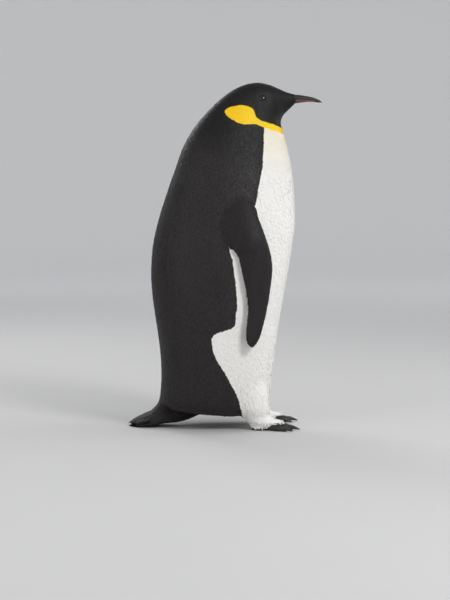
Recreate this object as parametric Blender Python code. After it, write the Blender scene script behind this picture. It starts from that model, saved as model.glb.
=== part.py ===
"""Emperor penguin, standing upright at life size, as a still model in named solids.

Metres, +Z up. The bird faces +X, its left side is +Y, and it stands on its two feet
and the tip of its tail at z = 0. The origin is under the middle of its bounding box.
Every solid gives the outer form of the plumage. Neighbours meet across thin cuts.
"""

import math

import bmesh
import bpy
from mathutils import Matrix, Vector

REACH = 0.310            # bill tip ahead of the origin, and tail tip behind it
GAP = 0.0003             # clearance between touching solids

BODY_RING = 36           # points round the neck and trunk
HEAD_RING = 28
FLIPPER_RING = 14
LEG_RING = 16
TAIL_RING = 16
TOE_RING = 10
CLAW_RING = 8
BILL_RING = 13

BODY_FULLNESS = 2.15     # superellipse exponent: 2 is an ellipse, more is squarer
WIDEST_AT = 0.47         # where a body section is widest, from its back to its front

# The body's own sections, from the bill's root to the vent. Each lies in a plane that
# holds its back point and its front point: (back x, back z, front x, front z, half width).
BODY = (
    (0.2240, 1.0632, 0.2240, 1.0330, 0.0135),    # 0 root of the bill
    (0.1985, 1.0700, 0.2040, 1.0140, 0.0225),    # 1 lores
    (0.1712, 1.0815, 0.1890, 0.9990, 0.0335),    # 2 forehead and chin
    (0.1416, 1.0935, 0.1810, 0.9830, 0.0440),    # 3 eyes
    (0.1020, 1.1000, 0.1800, 0.9670, 0.0505),    # 4 crown, 1.1 m above the floor
    (0.0580, 1.0915, 0.1850, 0.9500, 0.0565),    # 5 ear patch
    (0.0124, 1.0675, 0.1910, 0.9290, 0.0640),    # 6 nape and throat
    (-0.0373, 1.0263, 0.1980, 0.9029, 0.0765),   # 7 side of the neck
    (-0.0870, 0.9710, 0.2052, 0.8714, 0.0940),   # 8 collar
    (-0.1282, 0.9040, 0.2130, 0.8322, 0.1150),   # 9 root of the neck
    (-0.1588, 0.8226, 0.2196, 0.7776, 0.1380),   # 10 shoulders
    (-0.1856, 0.7461, 0.2240, 0.7126, 0.1560),   # 11 breast
    (-0.2114, 0.6629, 0.2235, 0.6428, 0.1695),   # 12
    (-0.2285, 0.5854, 0.2150, 0.5739, 0.1790),   # 13
    (-0.2350, 0.5060, 0.2040, 0.5040, 0.1845),   # 14 middle of the back
    (-0.2325, 0.4380, 0.1925, 0.4380, 0.1860),   # 15 belly
    (-0.2250, 0.3750, 0.1812, 0.3750, 0.1855),   # 16
    (-0.2155, 0.3110, 0.1715, 0.3110, 0.1815),   # 17 flanks
    (-0.2075, 0.2470, 0.1630, 0.2470, 0.1750),   # 18
    (-0.2035, 0.1840, 0.1555, 0.1840, 0.1660),   # 19 rump
    (-0.2050, 0.1300, 0.1490, 0.1260, 0.1550),   # 20
    (-0.2090, 0.0880, 0.1420, 0.0760, 0.1400),   # 21 thighs
    (-0.1960, 0.0600, 0.1290, 0.0420, 0.1150),   # 22 vent
    (-0.1500, 0.0560, 0.0900, 0.0340, 0.0700),   # 23 underside
)
HEAD_ENDS_AT = 6.0       # the cuts, counted in sections
NECK_ENDS_AT = 9.0
CUT = 0.012              # half the width of a cut, in sections

# Bill sections across +X: (x, ridge z, gape z, keel z, half width at the gape).
BILL = (
    (0.2246, 1.0622, 1.0480, 1.0345, 0.0130),
    (0.2390, 1.0612, 1.0480, 1.0362, 0.0118),
    (0.2540, 1.0590, 1.0476, 1.0382, 0.0102),
    (0.2690, 1.0562, 1.0466, 1.0395, 0.0084),
    (0.2830, 1.0528, 1.0448, 1.0390, 0.0067),
    (0.2950, 1.0484, 1.0422, 1.0376, 0.0050),
    (0.3040, 1.0436, 1.0392, 1.0360, 0.0034),
    (REACH, 1.0384, 1.0360, 1.0348, 0.0014),
)
LOWER_BILL_SECTIONS = 7  # the hooked tip overhangs the lower half

EYE = {"x": 0.1208, "z": 1.0508, "radius": 0.0165, "bulge": 0.0010}
ORBIT = {"radius": 0.0320, "depth": 0.0022}      # the shallow dish that the eye sits in

# Flipper sections: leading edge (x, z), trailing edge (x, z), thickness, how far the inner
# face stands off the body's side, and how far the trailing edge turns in towards it.
# The first two are sunk in the shoulder.
FLIPPER = (
    (0.0670, 0.7915, -0.0335, 0.7533, 0.0290, -0.0380, 0.0000),   # shoulder joint
    (0.0909, 0.7246, -0.0287, 0.6768, 0.0350, -0.0230, 0.0060),
    (0.1110, 0.6672, -0.0105, 0.6194, 0.0330, -0.0060, 0.0240),   # axilla
    (0.1301, 0.6146, 0.0190, 0.5850, 0.0290, 0.0050, 0.0200),
    (0.1444, 0.5668, 0.0400, 0.5600, 0.0255, 0.0080, 0.0110),     # elbow
    (0.1505, 0.5170, 0.0530, 0.5100, 0.0225, 0.0100, 0.0080),
    (0.1460, 0.4654, 0.0640, 0.4560, 0.0195, 0.0125, 0.0070),     # wrist
    (0.1385, 0.4137, 0.0705, 0.4061, 0.0170, 0.0160, 0.0060),
    (0.1280, 0.3621, 0.0685, 0.3563, 0.0140, 0.0205, 0.0050),
    (0.1155, 0.3152, 0.0660, 0.3104, 0.0115, 0.0255, 0.0040),
    (0.1050, 0.2916, 0.0680, 0.2887, 0.0090, 0.0285, 0.0020),
    (0.0945, 0.2790, 0.0785, 0.2782, 0.0055, 0.0300, 0.0000),     # tip
)
FLIPPER_FLATNESS = 0.5   # 0 follows the curve of the body's side, 1 is flat from edge to edge
FLIPPER_BULGE = 0.008    # clears the body's curve under a flat blade

# Feathered legs, from inside the belly down over the instep: (z, x, y, half length, half width).
LEG = (
    (0.1500, 0.0700, 0.0660, 0.0600, 0.0560),
    (0.1050, 0.0790, 0.0700, 0.0600, 0.0560),
    (0.0700, 0.0920, 0.0735, 0.0535, 0.0510),
    (0.0520, 0.1000, 0.0750, 0.0465, 0.0455),
    (0.0390, 0.1080, 0.0765, 0.0480, 0.0415),
    (0.0290, 0.1245, 0.0765, 0.0560, 0.0370),    # the feathers run forwards over the foot
    (0.0200, 0.1230, 0.0765, 0.0470, 0.0350),
    (0.0100, 0.1150, 0.0765, 0.0300, 0.0325),
)

# Tail wedge from inside the rump to its tip: (x, top z, underside z, half width).
TAIL = (
    (-0.0400, 0.1000, 0.0510, 0.0330),
    (-0.0750, 0.1100, 0.0355, 0.0420),
    (-0.1080, 0.1230, 0.0215, 0.0500),
    (-0.1430, 0.1290, 0.0120, 0.0560),
    (-0.1820, 0.1130, 0.0070, 0.0610),
    (-0.2110, 0.0840, 0.0025, 0.0620),
    (-0.2350, 0.0545, 0.0000, 0.0600),
    (-0.2590, 0.0395, 0.0000, 0.0550),
    (-0.2820, 0.0275, 0.0000, 0.0470),
    (-0.2990, 0.0175, 0.0000, 0.0365),
    (-REACH, 0.0090, 0.0000, 0.0220),
)

ANKLE = Vector((0.112, 0.0765))  # middle of the left heel on the floor
TOE_OUT = math.radians(9.0)      # how far the feet turn outwards
HEEL = {"length": 0.025, "width": 0.031, "height": 0.036}
# Toes: (heading from the foot's line in degrees, outwards positive, length, half width).
TOES = (
    ("inner", -21.0, 0.088, 0.0155),
    ("middle", 1.0, 0.106, 0.0165),
    ("outer", 23.0, 0.097, 0.0155),
)
TOE_HEIGHT = 0.0225
TOE_STEPS = 6
WEB_HEIGHT = 0.0060
WEB_SAG = 0.84           # how far the web's edge falls back between two toes
CLAW = {"length": 0.023, "radius": 0.0064, "droop": 0.0076, "sunk": 0.010, "taper": 0.80, "steps": 5}

COLOURS = {              # base colour, roughness
    "plumage_dark": ((0.028, 0.027, 0.030, 1.0), 0.75),
    "plumage_white": ((0.820, 0.810, 0.770, 1.0), 0.80),
    "bill_horn": ((0.015, 0.013, 0.014, 1.0), 0.35),
    "bill_plate": ((0.330, 0.130, 0.120, 1.0), 0.35),
    "foot_skin": ((0.022, 0.020, 0.020, 1.0), 0.60),
    "claw_horn": ((0.030, 0.026, 0.024, 1.0), 0.40),
    "eye": ((0.030, 0.015, 0.008, 1.0), 0.10),
}


def make_collection(name):
    collection = bpy.data.collections.new(name)
    bpy.context.scene.collection.children.link(collection)
    return collection


def make_material(name):
    colour, roughness = COLOURS[name]
    material = bpy.data.materials.new(name)
    material.use_nodes = True
    shader = material.node_tree.nodes["Principled BSDF"]
    shader.inputs["Base Color"].default_value = colour
    shader.inputs["Roughness"].default_value = roughness
    shader.inputs["Metallic"].default_value = 0.0
    return material


def smooth_row(rows, at):
    """The row of numbers at a fractional place, on a Catmull-Rom curve through rows."""
    last = len(rows) - 1
    first = min(int(at), last - 1)
    t = at - first
    near = [rows[min(max(first + k, 0), last)] for k in (-1, 0, 1, 2)]
    return [
        0.5 * (2 * b + (c - a) * t + (2 * a - 5 * b + 4 * c - d) * t**2 + (3 * b - a - 3 * c + d) * t**3)
        for a, b, c, d in zip(*near)
    ]


def places(start, end, steps):
    return [start + (end - start) * k / steps for k in range(steps + 1)]


def power(value, exponent):
    """A sine or cosine bent to a superellipse, with its sign kept."""
    return math.copysign(abs(value) ** exponent, value)


def loft(rings):
    """A closed mesh through rings of points, with a flat cap at each end."""
    form = bmesh.new()
    rows = [[form.verts.new(point) for point in ring] for ring in rings]
    count = len(rows[0])
    for one, two in zip(rows, rows[1:]):
        for k in range(count):
            after = (k + 1) % count
            form.faces.new((one[k], one[after], two[after], two[k]))
    form.faces.new(rows[0])
    form.faces.new(rows[-1])
    bmesh.ops.recalc_face_normals(form, faces=form.faces[:])
    bmesh.ops.triangulate(form, faces=form.faces[:], quad_method="FIXED")
    return form


def grown(form, by=GAP):
    """The same form with its surface moved outwards, as a cutter that leaves a clearance."""
    form.normal_update()
    moves = [(point, point.normal * by * point.calc_shell_factor()) for point in form.verts]
    for point, move in moves:
        point.co += move
    return form


def body_ring(at, count):
    """The body's section at a fractional place, as points that start at its front."""
    back_x, back_z, front_x, front_z, half_width = smooth_row(BODY, at)
    back = Vector((back_x, 0, back_z))
    front = Vector((front_x, 0, front_z))
    middle = back.lerp(front, WIDEST_AT)
    ring = []
    for k in range(count):
        turn = math.tau * k / count
        ahead = power(math.cos(turn), 2 / BODY_FULLNESS)
        side = power(math.sin(turn), 2 / BODY_FULLNESS)
        reach = (front if ahead > 0 else back) - middle
        ring.append(middle + reach * abs(ahead) + Vector((0, half_width * side, 0)))
    return ring


def side_of(found):
    """The half width at a place on a section, from (miss, share from the back, half width)."""
    _, share, half_width = found
    reach = 1 - WIDEST_AT if share > WIDEST_AT else WIDEST_AT
    ahead = min(abs(share - WIDEST_AT) / reach, 1.0)
    return half_width * (1 - ahead**BODY_FULLNESS) ** (1 / BODY_FULLNESS)


def side_of_body(x, z):
    """How far the trunk's side lies from its middle plane, at a place seen from the side."""
    found = []
    for at in places(9, 21, 240):
        back_x, back_z, front_x, front_z, half_width = smooth_row(BODY, at)
        share = (x - back_x) / (front_x - back_x)
        found.append((abs(back_z + (front_z - back_z) * share - z), share, half_width))
    return side_of(min(found))


def side_of_head(x, z):
    """The same for the head, whose sections are nearer to upright."""
    found = []
    for at in places(1, HEAD_ENDS_AT, 200):
        back_x, back_z, front_x, front_z, half_width = smooth_row(BODY, at)
        share = (back_z - z) / (back_z - front_z)
        found.append((abs(back_x + (front_x - back_x) * share - x), share, half_width))
    return side_of(min(found))


def make_trunk():
    steps = places(NECK_ENDS_AT + CUT, len(BODY) - 1, 28)
    return loft([body_ring(at, BODY_RING) for at in steps])


def make_neck():
    steps = places(HEAD_ENDS_AT + CUT, NECK_ENDS_AT - CUT, 7)
    return loft([body_ring(at, BODY_RING) for at in steps])


def make_head():
    steps = places(0, HEAD_ENDS_AT - CUT, 14)
    return loft([body_ring(at, HEAD_RING) for at in steps])


def make_ball(side, radius, proud, rings):
    """A sphere on the eye's own axis that stands this far proud of the head's side."""
    x, z, step = EYE["x"], EYE["z"], 0.006
    slope_x = (side_of_head(x + step, z) - side_of_head(x - step, z)) / (2 * step)
    slope_z = (side_of_head(x, z + step) - side_of_head(x, z - step)) / (2 * step)
    outward = Vector((-slope_x, side, -slope_z)).normalized()
    middle = Vector((x, side * side_of_head(x, z), z)) + outward * (proud - radius)
    turn = outward.to_track_quat("Z", "X").to_matrix().to_4x4()
    form = bmesh.new()
    bmesh.ops.create_uvsphere(form, u_segments=2 * rings, v_segments=rings, radius=radius)
    bmesh.ops.transform(form, verts=form.verts[:], matrix=Matrix.Translation(middle) @ turn)
    return form


def make_eye(side):
    return make_ball(side, EYE["radius"], EYE["bulge"], 9)


def make_orbit(side):
    """Cuts a shallow dish, from a ball that touches the head from outside."""
    return make_ball(side, ORBIT["radius"], 2 * ORBIT["radius"] - ORBIT["depth"], 18)


def make_bill(upper):
    """Half of the bill, from the gape's plane to its ridge or its keel."""
    rings = []
    last = len(BILL) - 1 if upper else LOWER_BILL_SECTIONS - 1
    for at in places(0, last, int(1.5 * last)):
        x, ridge, gape, keel, half_width = smooth_row(BILL, at)
        inset = 1.0 if upper else 0.93
        base = gape + (GAP / 2 if upper else -GAP / 2)
        height = ridge - base if upper else keel - base
        ring = []
        for k in range(BILL_RING):
            turn = math.pi * k / (BILL_RING - 1)
            side = power(math.cos(turn), 0.85) * half_width * inset
            ring.append(Vector((x, side, base + height * math.sin(turn) ** 0.9)))
        rings.append(ring)
    return loft(rings)


def make_flipper(side):
    """A blade that hangs along the body's side, thick in front and thin behind."""
    rings = []
    for at in places(0, len(FLIPPER) - 1, 17):
        lead_x, lead_z, trail_x, trail_z, thickness, standoff, tuck = smooth_row(FLIPPER, at)
        lead_side = side_of_body(lead_x, lead_z)
        trail_side = side_of_body(trail_x, trail_z)
        ring = []
        for k in range(FLIPPER_RING):
            turn = math.tau * k / FLIPPER_RING
            share = 0.5 - 0.5 * math.cos(turn)
            x = lead_x + (trail_x - lead_x) * share
            z = lead_z + (trail_z - lead_z) * share
            swell = math.sin(turn) * (1.25 - 0.7 * share)
            curved = side_of_body(x, z)
            flat = lead_side + (trail_side - lead_side) * share + FLIPPER_BULGE
            middle = curved + (flat - curved) * FLIPPER_FLATNESS + standoff + thickness / 2
            middle -= tuck * share**3
            ring.append(Vector((x, side * (middle + thickness / 2 * swell), z)))
        rings.append(ring)
    return loft(rings)


def make_leg(side):
    """A feathered leg that turns outwards with its foot towards the floor."""
    rings = []
    for at in places(0, len(LEG) - 1, 9):
        z, x, y, half_length, half_width = smooth_row(LEG, at)
        turned = side * TOE_OUT * min(max((0.075 - z) / 0.035, 0), 1)
        frame = Matrix.Translation((ANKLE.x, side * ANKLE.y, z)) @ Matrix.Rotation(turned, 4, "Z")
        ring = []
        for k in range(LEG_RING):
            turn = math.tau * k / LEG_RING
            ahead = x - ANKLE.x + half_length * math.cos(turn)
            out = side * (y - ANKLE.y) + half_width * math.sin(turn)
            ring.append(frame @ Vector((ahead, out, 0)))
        rings.append(ring)
    return loft(rings)


def make_tail():
    """A flat-bottomed wedge whose tip rests on the floor."""
    rings = []
    for at in places(0, len(TAIL) - 1, 13):
        x, top, under, half_width = smooth_row(TAIL, at)
        under = max(under, 0.0)
        middle = under + 0.35 * (top - under)
        ring = []
        for k in range(TAIL_RING):
            turn = math.tau * k / TAIL_RING
            up = power(math.sin(turn), 0.8)
            reach = top - middle if up > 0 else 1.15 * (middle - under)
            side = power(math.cos(turn), 0.8) * half_width
            ring.append(Vector((x, side, max(middle + reach * up, under))))
        rings.append(ring)
    return loft(rings)


def foot_frame(side, heading):
    """From a toe's own frame, +X along the toe, to the floor under that foot."""
    turn = side * (TOE_OUT + math.radians(heading))
    return Matrix.Translation((ANKLE.x, side * ANKLE.y, 0)) @ Matrix.Rotation(turn, 4, "Z")


def make_toe(side, toe):
    """A toe with a flat sole, arched at its root and rounded at its tip."""
    _, heading, length, half_width = toe
    frame = foot_frame(side, heading)
    rings = []
    for at in places(0, 1, TOE_STEPS):
        narrow = 1.05 - 0.30 * at
        end = math.sqrt(max(1 - max((at - 0.8) / 0.2, 0) ** 2 * 0.8, 0))
        joints = 1 + 0.07 * math.cos(at * 6 * math.pi)
        height = (0.034 - (0.034 - TOE_HEIGHT) * min(at * 2.2, 1)) * (1 - 0.22 * at) * end
        width = half_width * narrow * joints * end
        ring = []
        for k in range(TOE_RING):
            turn = math.tau * k / TOE_RING
            up = math.sin(turn)
            z = height * (0.36 + 0.64 * up if up > 0 else max(0.36 + 0.45 * up, 0))
            ring.append(frame @ Vector((at * length, width * math.cos(turn), z)))
        rings.append(ring)
    return loft(rings)


def make_web(side):
    """The skin between the toes, with its front edge drawn back between each two."""
    form = bmesh.new()
    outline = []
    for (_, one, reach_one, _), (_, two, reach_two, _) in zip(TOES, TOES[1:]):
        for share in places(0, 1, 6)[: 7 if two == TOES[-1][1] else 6]:
            heading = one + (two - one) * share
            reach = reach_one + (reach_two - reach_one) * share
            sag = WEB_SAG + (1 - WEB_SAG) * abs(2 * share - 1) ** 2
            outline.append(foot_frame(side, heading) @ Vector((reach * sag * 0.93, 0, 0)))
    outline.append(foot_frame(side, TOES[-1][1]) @ Vector((0.01, 0, 0)))
    outline.append(foot_frame(side, TOES[0][1]) @ Vector((0.01, 0, 0)))
    floor = form.faces.new([form.verts.new(point) for point in outline])
    made = bmesh.ops.extrude_face_region(form, geom=[floor])
    raised = [item for item in made["geom"] if isinstance(item, bmesh.types.BMVert)]
    bmesh.ops.translate(form, verts=raised, vec=(0, 0, WEB_HEIGHT))
    bmesh.ops.recalc_face_normals(form, faces=form.faces[:])
    return form


def make_heel(side):
    """The sole's thick rear pad, under the ankle."""
    frame = foot_frame(side, 0)
    rings = []
    for share in (1.0, 0.97, 0.86, 0.66, 0.4):
        rise = math.sqrt(1 - share**2) * HEEL["height"]
        rings.append(
            [
                frame
                @ Vector(
                    (
                        HEEL["length"] * share * math.cos(math.tau * k / LEG_RING),
                        HEEL["width"] * share * math.sin(math.tau * k / LEG_RING),
                        rise,
                    )
                )
                for k in range(LEG_RING)
            ]
        )
    return loft(rings)


def make_claw(side, toe):
    """A horn cone that leaves the toe's end and bends down to just clear of the floor."""
    _, heading, length, _ = toe
    frame = foot_frame(side, heading)
    rings = []
    for at in places(0, 1, CLAW["steps"]):
        radius = CLAW["radius"] * (1 - at**1.8 * CLAW["taper"])
        x = length - CLAW["sunk"] + (CLAW["length"] + CLAW["sunk"]) * at
        lift = 0.0112 - CLAW["droop"] * at**1.7
        ring = []
        for k in range(CLAW_RING):
            turn = math.tau * k / CLAW_RING
            ring.append(frame @ Vector((x, radius * math.cos(turn), lift + radius * 1.1 * math.sin(turn))))
        rings.append(ring)
    return loft(rings)


def add_object(name, form, collection, material=None):
    mesh = bpy.data.meshes.new(name)
    form.to_mesh(mesh)
    form.free()
    part = bpy.data.objects.new(name, mesh)
    collection.objects.link(part)
    if material:
        mesh.materials.append(material)
        mesh.shade_smooth()
        mesh.set_sharp_from_angle(angle=math.radians(40))
    else:
        part.hide_render = True
        part.display_type = "WIRE"
    return part


def join_or_cut(part, tool, operation):
    modifier = part.modifiers.new(f"{operation.lower()} {tool.name}", "BOOLEAN")
    modifier.operation = operation
    modifier.object = tool
    modifier.solver = "EXACT"


def build():
    for old in list(bpy.data.objects):
        bpy.data.objects.remove(old)
    parts = make_collection("emperor_penguin")
    tools = make_collection("cutters")
    finish = {name: make_material(name) for name in COLOURS}

    add_object("trunk", make_trunk(), parts, finish["plumage_dark"])
    add_object("neck", make_neck(), parts, finish["plumage_dark"])
    head = add_object("head", make_head(), parts, finish["plumage_dark"])
    add_object("bill_upper", make_bill(True), parts, finish["bill_horn"])
    add_object("bill_lower", make_bill(False), parts, finish["bill_plate"])
    around_trunk = add_object("trunk_cutter", grown(make_trunk()), tools)
    tail = add_object("tail", make_tail(), parts, finish["plumage_dark"])
    join_or_cut(tail, around_trunk, "DIFFERENCE")

    for side, word in ((1, "left"), (-1, "right")):
        add_object(f"eye_{word}", make_eye(side), parts, finish["eye"])
        orbit = add_object(f"orbit_cutter_{word}", make_orbit(side), tools)
        join_or_cut(head, orbit, "DIFFERENCE")
        socket = add_object(f"eye_cutter_{word}", grown(make_eye(side)), tools)
        join_or_cut(head, socket, "DIFFERENCE")

        flipper = add_object(f"flipper_{word}", make_flipper(side), parts, finish["plumage_dark"])
        join_or_cut(flipper, around_trunk, "DIFFERENCE")
        leg = add_object(f"leg_{word}", make_leg(side), parts, finish["plumage_white"])
        join_or_cut(leg, around_trunk, "DIFFERENCE")

        foot = add_object(f"foot_{word}", make_heel(side), parts, finish["foot_skin"])
        web = add_object(f"web_{word}", make_web(side), tools)
        join_or_cut(foot, web, "UNION")
        for toe in TOES:
            flesh = add_object(f"toe_{word}_{toe[0]}", make_toe(side, toe), tools)
            join_or_cut(foot, flesh, "UNION")
        around_leg = add_object(f"leg_cutter_{word}", grown(make_leg(side)), tools)
        join_or_cut(foot, around_leg, "DIFFERENCE")
        for toe in TOES:
            add_object(f"claw_{word}_{toe[0]}", make_claw(side, toe), parts, finish["claw_horn"])
            seat = add_object(f"claw_cutter_{word}_{toe[0]}", grown(make_claw(side, toe)), tools)
            join_or_cut(foot, seat, "DIFFERENCE")


build()
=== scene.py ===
import math

import bmesh
import bpy
import numpy as np
from mathutils import Matrix, Vector, noise
from mathutils.bvhtree import BVHTree


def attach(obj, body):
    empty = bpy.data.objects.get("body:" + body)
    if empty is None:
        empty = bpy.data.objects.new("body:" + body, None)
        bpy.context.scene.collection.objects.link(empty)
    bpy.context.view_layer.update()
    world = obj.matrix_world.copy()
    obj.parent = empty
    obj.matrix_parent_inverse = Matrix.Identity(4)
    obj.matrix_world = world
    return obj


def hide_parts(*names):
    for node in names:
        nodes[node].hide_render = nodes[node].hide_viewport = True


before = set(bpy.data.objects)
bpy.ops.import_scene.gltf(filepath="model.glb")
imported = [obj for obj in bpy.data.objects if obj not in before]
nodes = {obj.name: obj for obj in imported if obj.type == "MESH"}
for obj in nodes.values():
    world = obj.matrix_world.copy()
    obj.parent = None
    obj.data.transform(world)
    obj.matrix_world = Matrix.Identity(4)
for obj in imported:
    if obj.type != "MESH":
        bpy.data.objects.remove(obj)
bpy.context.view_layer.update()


def say(text):
    print("penguin:", text)


def smoothRow(rows, at):
    # the row of numbers at a fractional place, on a Catmull-Rom curve through the rows
    last = len(rows) - 1
    first = min(int(at), last - 1)
    t = at - first
    a, b, c, d = (np.array(rows[min(max(first + k, 0), last)], float) for k in (-1, 0, 1, 2))
    return 0.5 * (2 * b + (c - a) * t + (2 * a - 5 * b + 4 * c - d) * t**2 + (3 * b - a - 3 * c + d) * t**3)


def rowsAlong(sections, count, first=0, last=None):
    # rows at even steps from one section to another
    last = len(sections) - 1 if last is None else last
    return np.array([smoothRow(sections, at) for at in np.linspace(first, last, count)])


def turns(count):
    return np.arange(count) * math.tau / count


def bent(value, exponent):
    return np.sign(value) * np.abs(value) ** exponent


def step(low, high, value):
    t = np.clip((value - low) / (high - low), 0, 1)
    return t * t * (3 - 2 * t)


def unit(vectors):
    return vectors / np.maximum(np.linalg.norm(vectors, axis=-1, keepdims=True), 1e-9)


def meshFrom(name, points, faces):
    mesh = bpy.data.meshes.new(name)
    mesh.from_pydata([tuple(p) for p in points], [], [tuple(int(i) for i in f) for f in faces])
    mesh.validate()
    mesh.update()
    return mesh


def outward(mesh):
    # faces turned outwards on a closed mesh
    form = bmesh.new()
    form.from_mesh(mesh)
    bmesh.ops.recalc_face_normals(form, faces=form.faces[:])
    form.to_mesh(mesh)
    form.free()
    return mesh


def loftData(rings):
    # points and faces of a closed tube through rings of equal length
    count = len(rings[0])
    points = np.concatenate(rings)
    faces = []
    for row in range(len(rings) - 1):
        for k in range(count):
            after = (k + 1) % count
            low, high = row * count, (row + 1) * count
            faces.append((low + k, low + after, high + after, high + k))
    faces.append(tuple(range(count)))
    faces.append(tuple(range((len(rings) - 1) * count, len(rings) * count)))
    return points, faces


def joined(parts):
    points, faces, start = [], [], 0
    for p, f in parts:
        points.append(p)
        faces += [tuple(i + start for i in face) for face in f]
        start += len(p)
    return np.concatenate(points), faces


def coverWith(mesh, *materials):
    mesh.materials.clear()
    for material in materials:
        mesh.materials.append(material)


def addPiece(name, mesh, material=None):
    piece = bpy.data.objects.new(name, mesh)
    bpy.context.scene.collection.objects.link(piece)
    if material:
        coverWith(mesh, material)
    mesh.shade_smooth()
    return piece


def settle(piece, slotName, *solids):
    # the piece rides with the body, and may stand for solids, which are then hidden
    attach(piece, "root")
    if solids:
        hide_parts(*solids)


def applied(piece):
    # the piece's modifiers made plain mesh
    graph = bpy.context.evaluated_depsgraph_get()
    graph.update()
    mesh = bpy.data.meshes.new_from_object(piece.evaluated_get(graph), preserve_all_data_layers=True,
                                           depsgraph=graph)
    old = piece.data
    piece.modifiers.clear()
    piece.data = mesh
    mesh.name = piece.name
    bpy.data.meshes.remove(old)
    return mesh


def readAll(items, field, width=1, kind=float):
    out = np.empty(len(items) * width, kind)
    items.foreach_get(field, out)
    return out.reshape(-1, width) if width > 1 else out


def pointsOf(mesh):
    return readAll(mesh.vertices, "co", 3)


def setPoints(mesh, points):
    mesh.vertices.foreach_set("co", np.ascontiguousarray(points, np.float32).ravel())
    mesh.update()


def normalsOf(mesh):
    return readAll(mesh.vertex_normals, "vector", 3)


def edgesOf(mesh):
    return readAll(mesh.edges, "vertices", 2, np.int32)


def valuesOf(mesh, name, width=1):
    return readAll(mesh.attributes[name].data, "value" if width == 1 else "vector", width, np.float32)


def relax(points, edges, rounds, share=0.5, back=-0.53, weight=None):
    # Taubin smoothing, which keeps the volume; with back=0 it is plain smoothing
    one, two = edges[:, 0], edges[:, 1]
    count = np.maximum(np.bincount(np.concatenate([one, two]), minlength=len(points)), 1)[:, None]
    mask = 1.0 if weight is None else weight[:, None]
    for _ in range(rounds):
        for amount in (share, back):
            if amount:
                total = np.stack([
                    np.bincount(one, points[two, k], len(points))
                    + np.bincount(two, points[one, k], len(points))
                    for k in range(3)], axis=1)
                points = points + (total / count - points) * amount * mask
    return points


def setValues(mesh, name, values, kind="FLOAT", domain="POINT"):
    layer = mesh.attributes.get(name) or mesh.attributes.new(name, kind, domain)
    field = "value" if kind == "FLOAT" else "vector"
    layer.data.foreach_set(field, np.ascontiguousarray(values, np.float32).ravel())


def bvhOf(data):
    points, faces = data
    return BVHTree.FromPolygons([tuple(p) for p in points], [tuple(f) for f in faces])


def distances(tree, points, reach=10.0):
    out = np.full(len(points), reach)
    for i, p in enumerate(points):
        found = tree.find_nearest(p, reach)
        if found[3] is not None:
            out[i] = found[3]
    return out


def roughness3(points, scale, seed=0.0):
    # smooth noise from -1 to 1, read at each point
    shift = Vector((seed, seed * 1.7, -seed))
    return np.array([noise.noise(Vector(p) * scale + shift) for p in points])


class Wire:
    # one socket, on which Python's own signs build Math nodes
    def __init__(self, sheet, socket):
        self.sheet, self.socket = sheet, socket

    def math(self, operation, other, clamp=False):
        return self.sheet.add("ShaderNodeMath", {"operation": operation, "use_clamp": clamp}, self, other)

    def vector(self, operation, other):
        return self.sheet.add("ShaderNodeVectorMath", {"operation": operation}, self, other)

    def __add__(self, other): return self.math("ADD", other)
    def __radd__(self, other): return self.math("ADD", other)
    def __sub__(self, other): return self.math("SUBTRACT", other)
    def __rsub__(self, other): return self.sheet.add("ShaderNodeMath", {"operation": "SUBTRACT"}, other, self)
    def __mul__(self, other): return self.math("MULTIPLY", other)

    def clamp(self):
        return self.math("ADD", 0.0, clamp=True)

    def ramp(self, low, high):
        # 0 below low, 1 above high, smooth between
        return self.sheet.add("ShaderNodeMapRange", {"interpolation_type": "SMOOTHSTEP"},
                              self, low, high, 0.0, 1.0)


class Sheet:
    # the nodes of one material or of one Geometry Nodes group
    def __init__(self, tree):
        self.nodes, self.links = tree.nodes, tree.links

    def add(self, kind, settings=None, *values, output=0, **named):
        node = self.nodes.new(kind)
        for key, value in (settings or {}).items():
            setattr(node, key, value)
        sockets = [s for s in node.inputs if s.enabled]
        byName = {s.name.replace(" ", "_"): s for s in reversed(sockets)}  # the first of a name counts
        for socket, value in [*zip(sockets, values), *((byName[key], value) for key, value in named.items())]:
            if isinstance(value, Wire):
                self.links.new(value.socket, socket)
            else:
                socket.default_value = value
        outputs = [s for s in node.outputs if s.enabled]
        return Wire(self, outputs[output] if isinstance(output, int)
                    else next(s for s in outputs if s.name == output))


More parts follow.
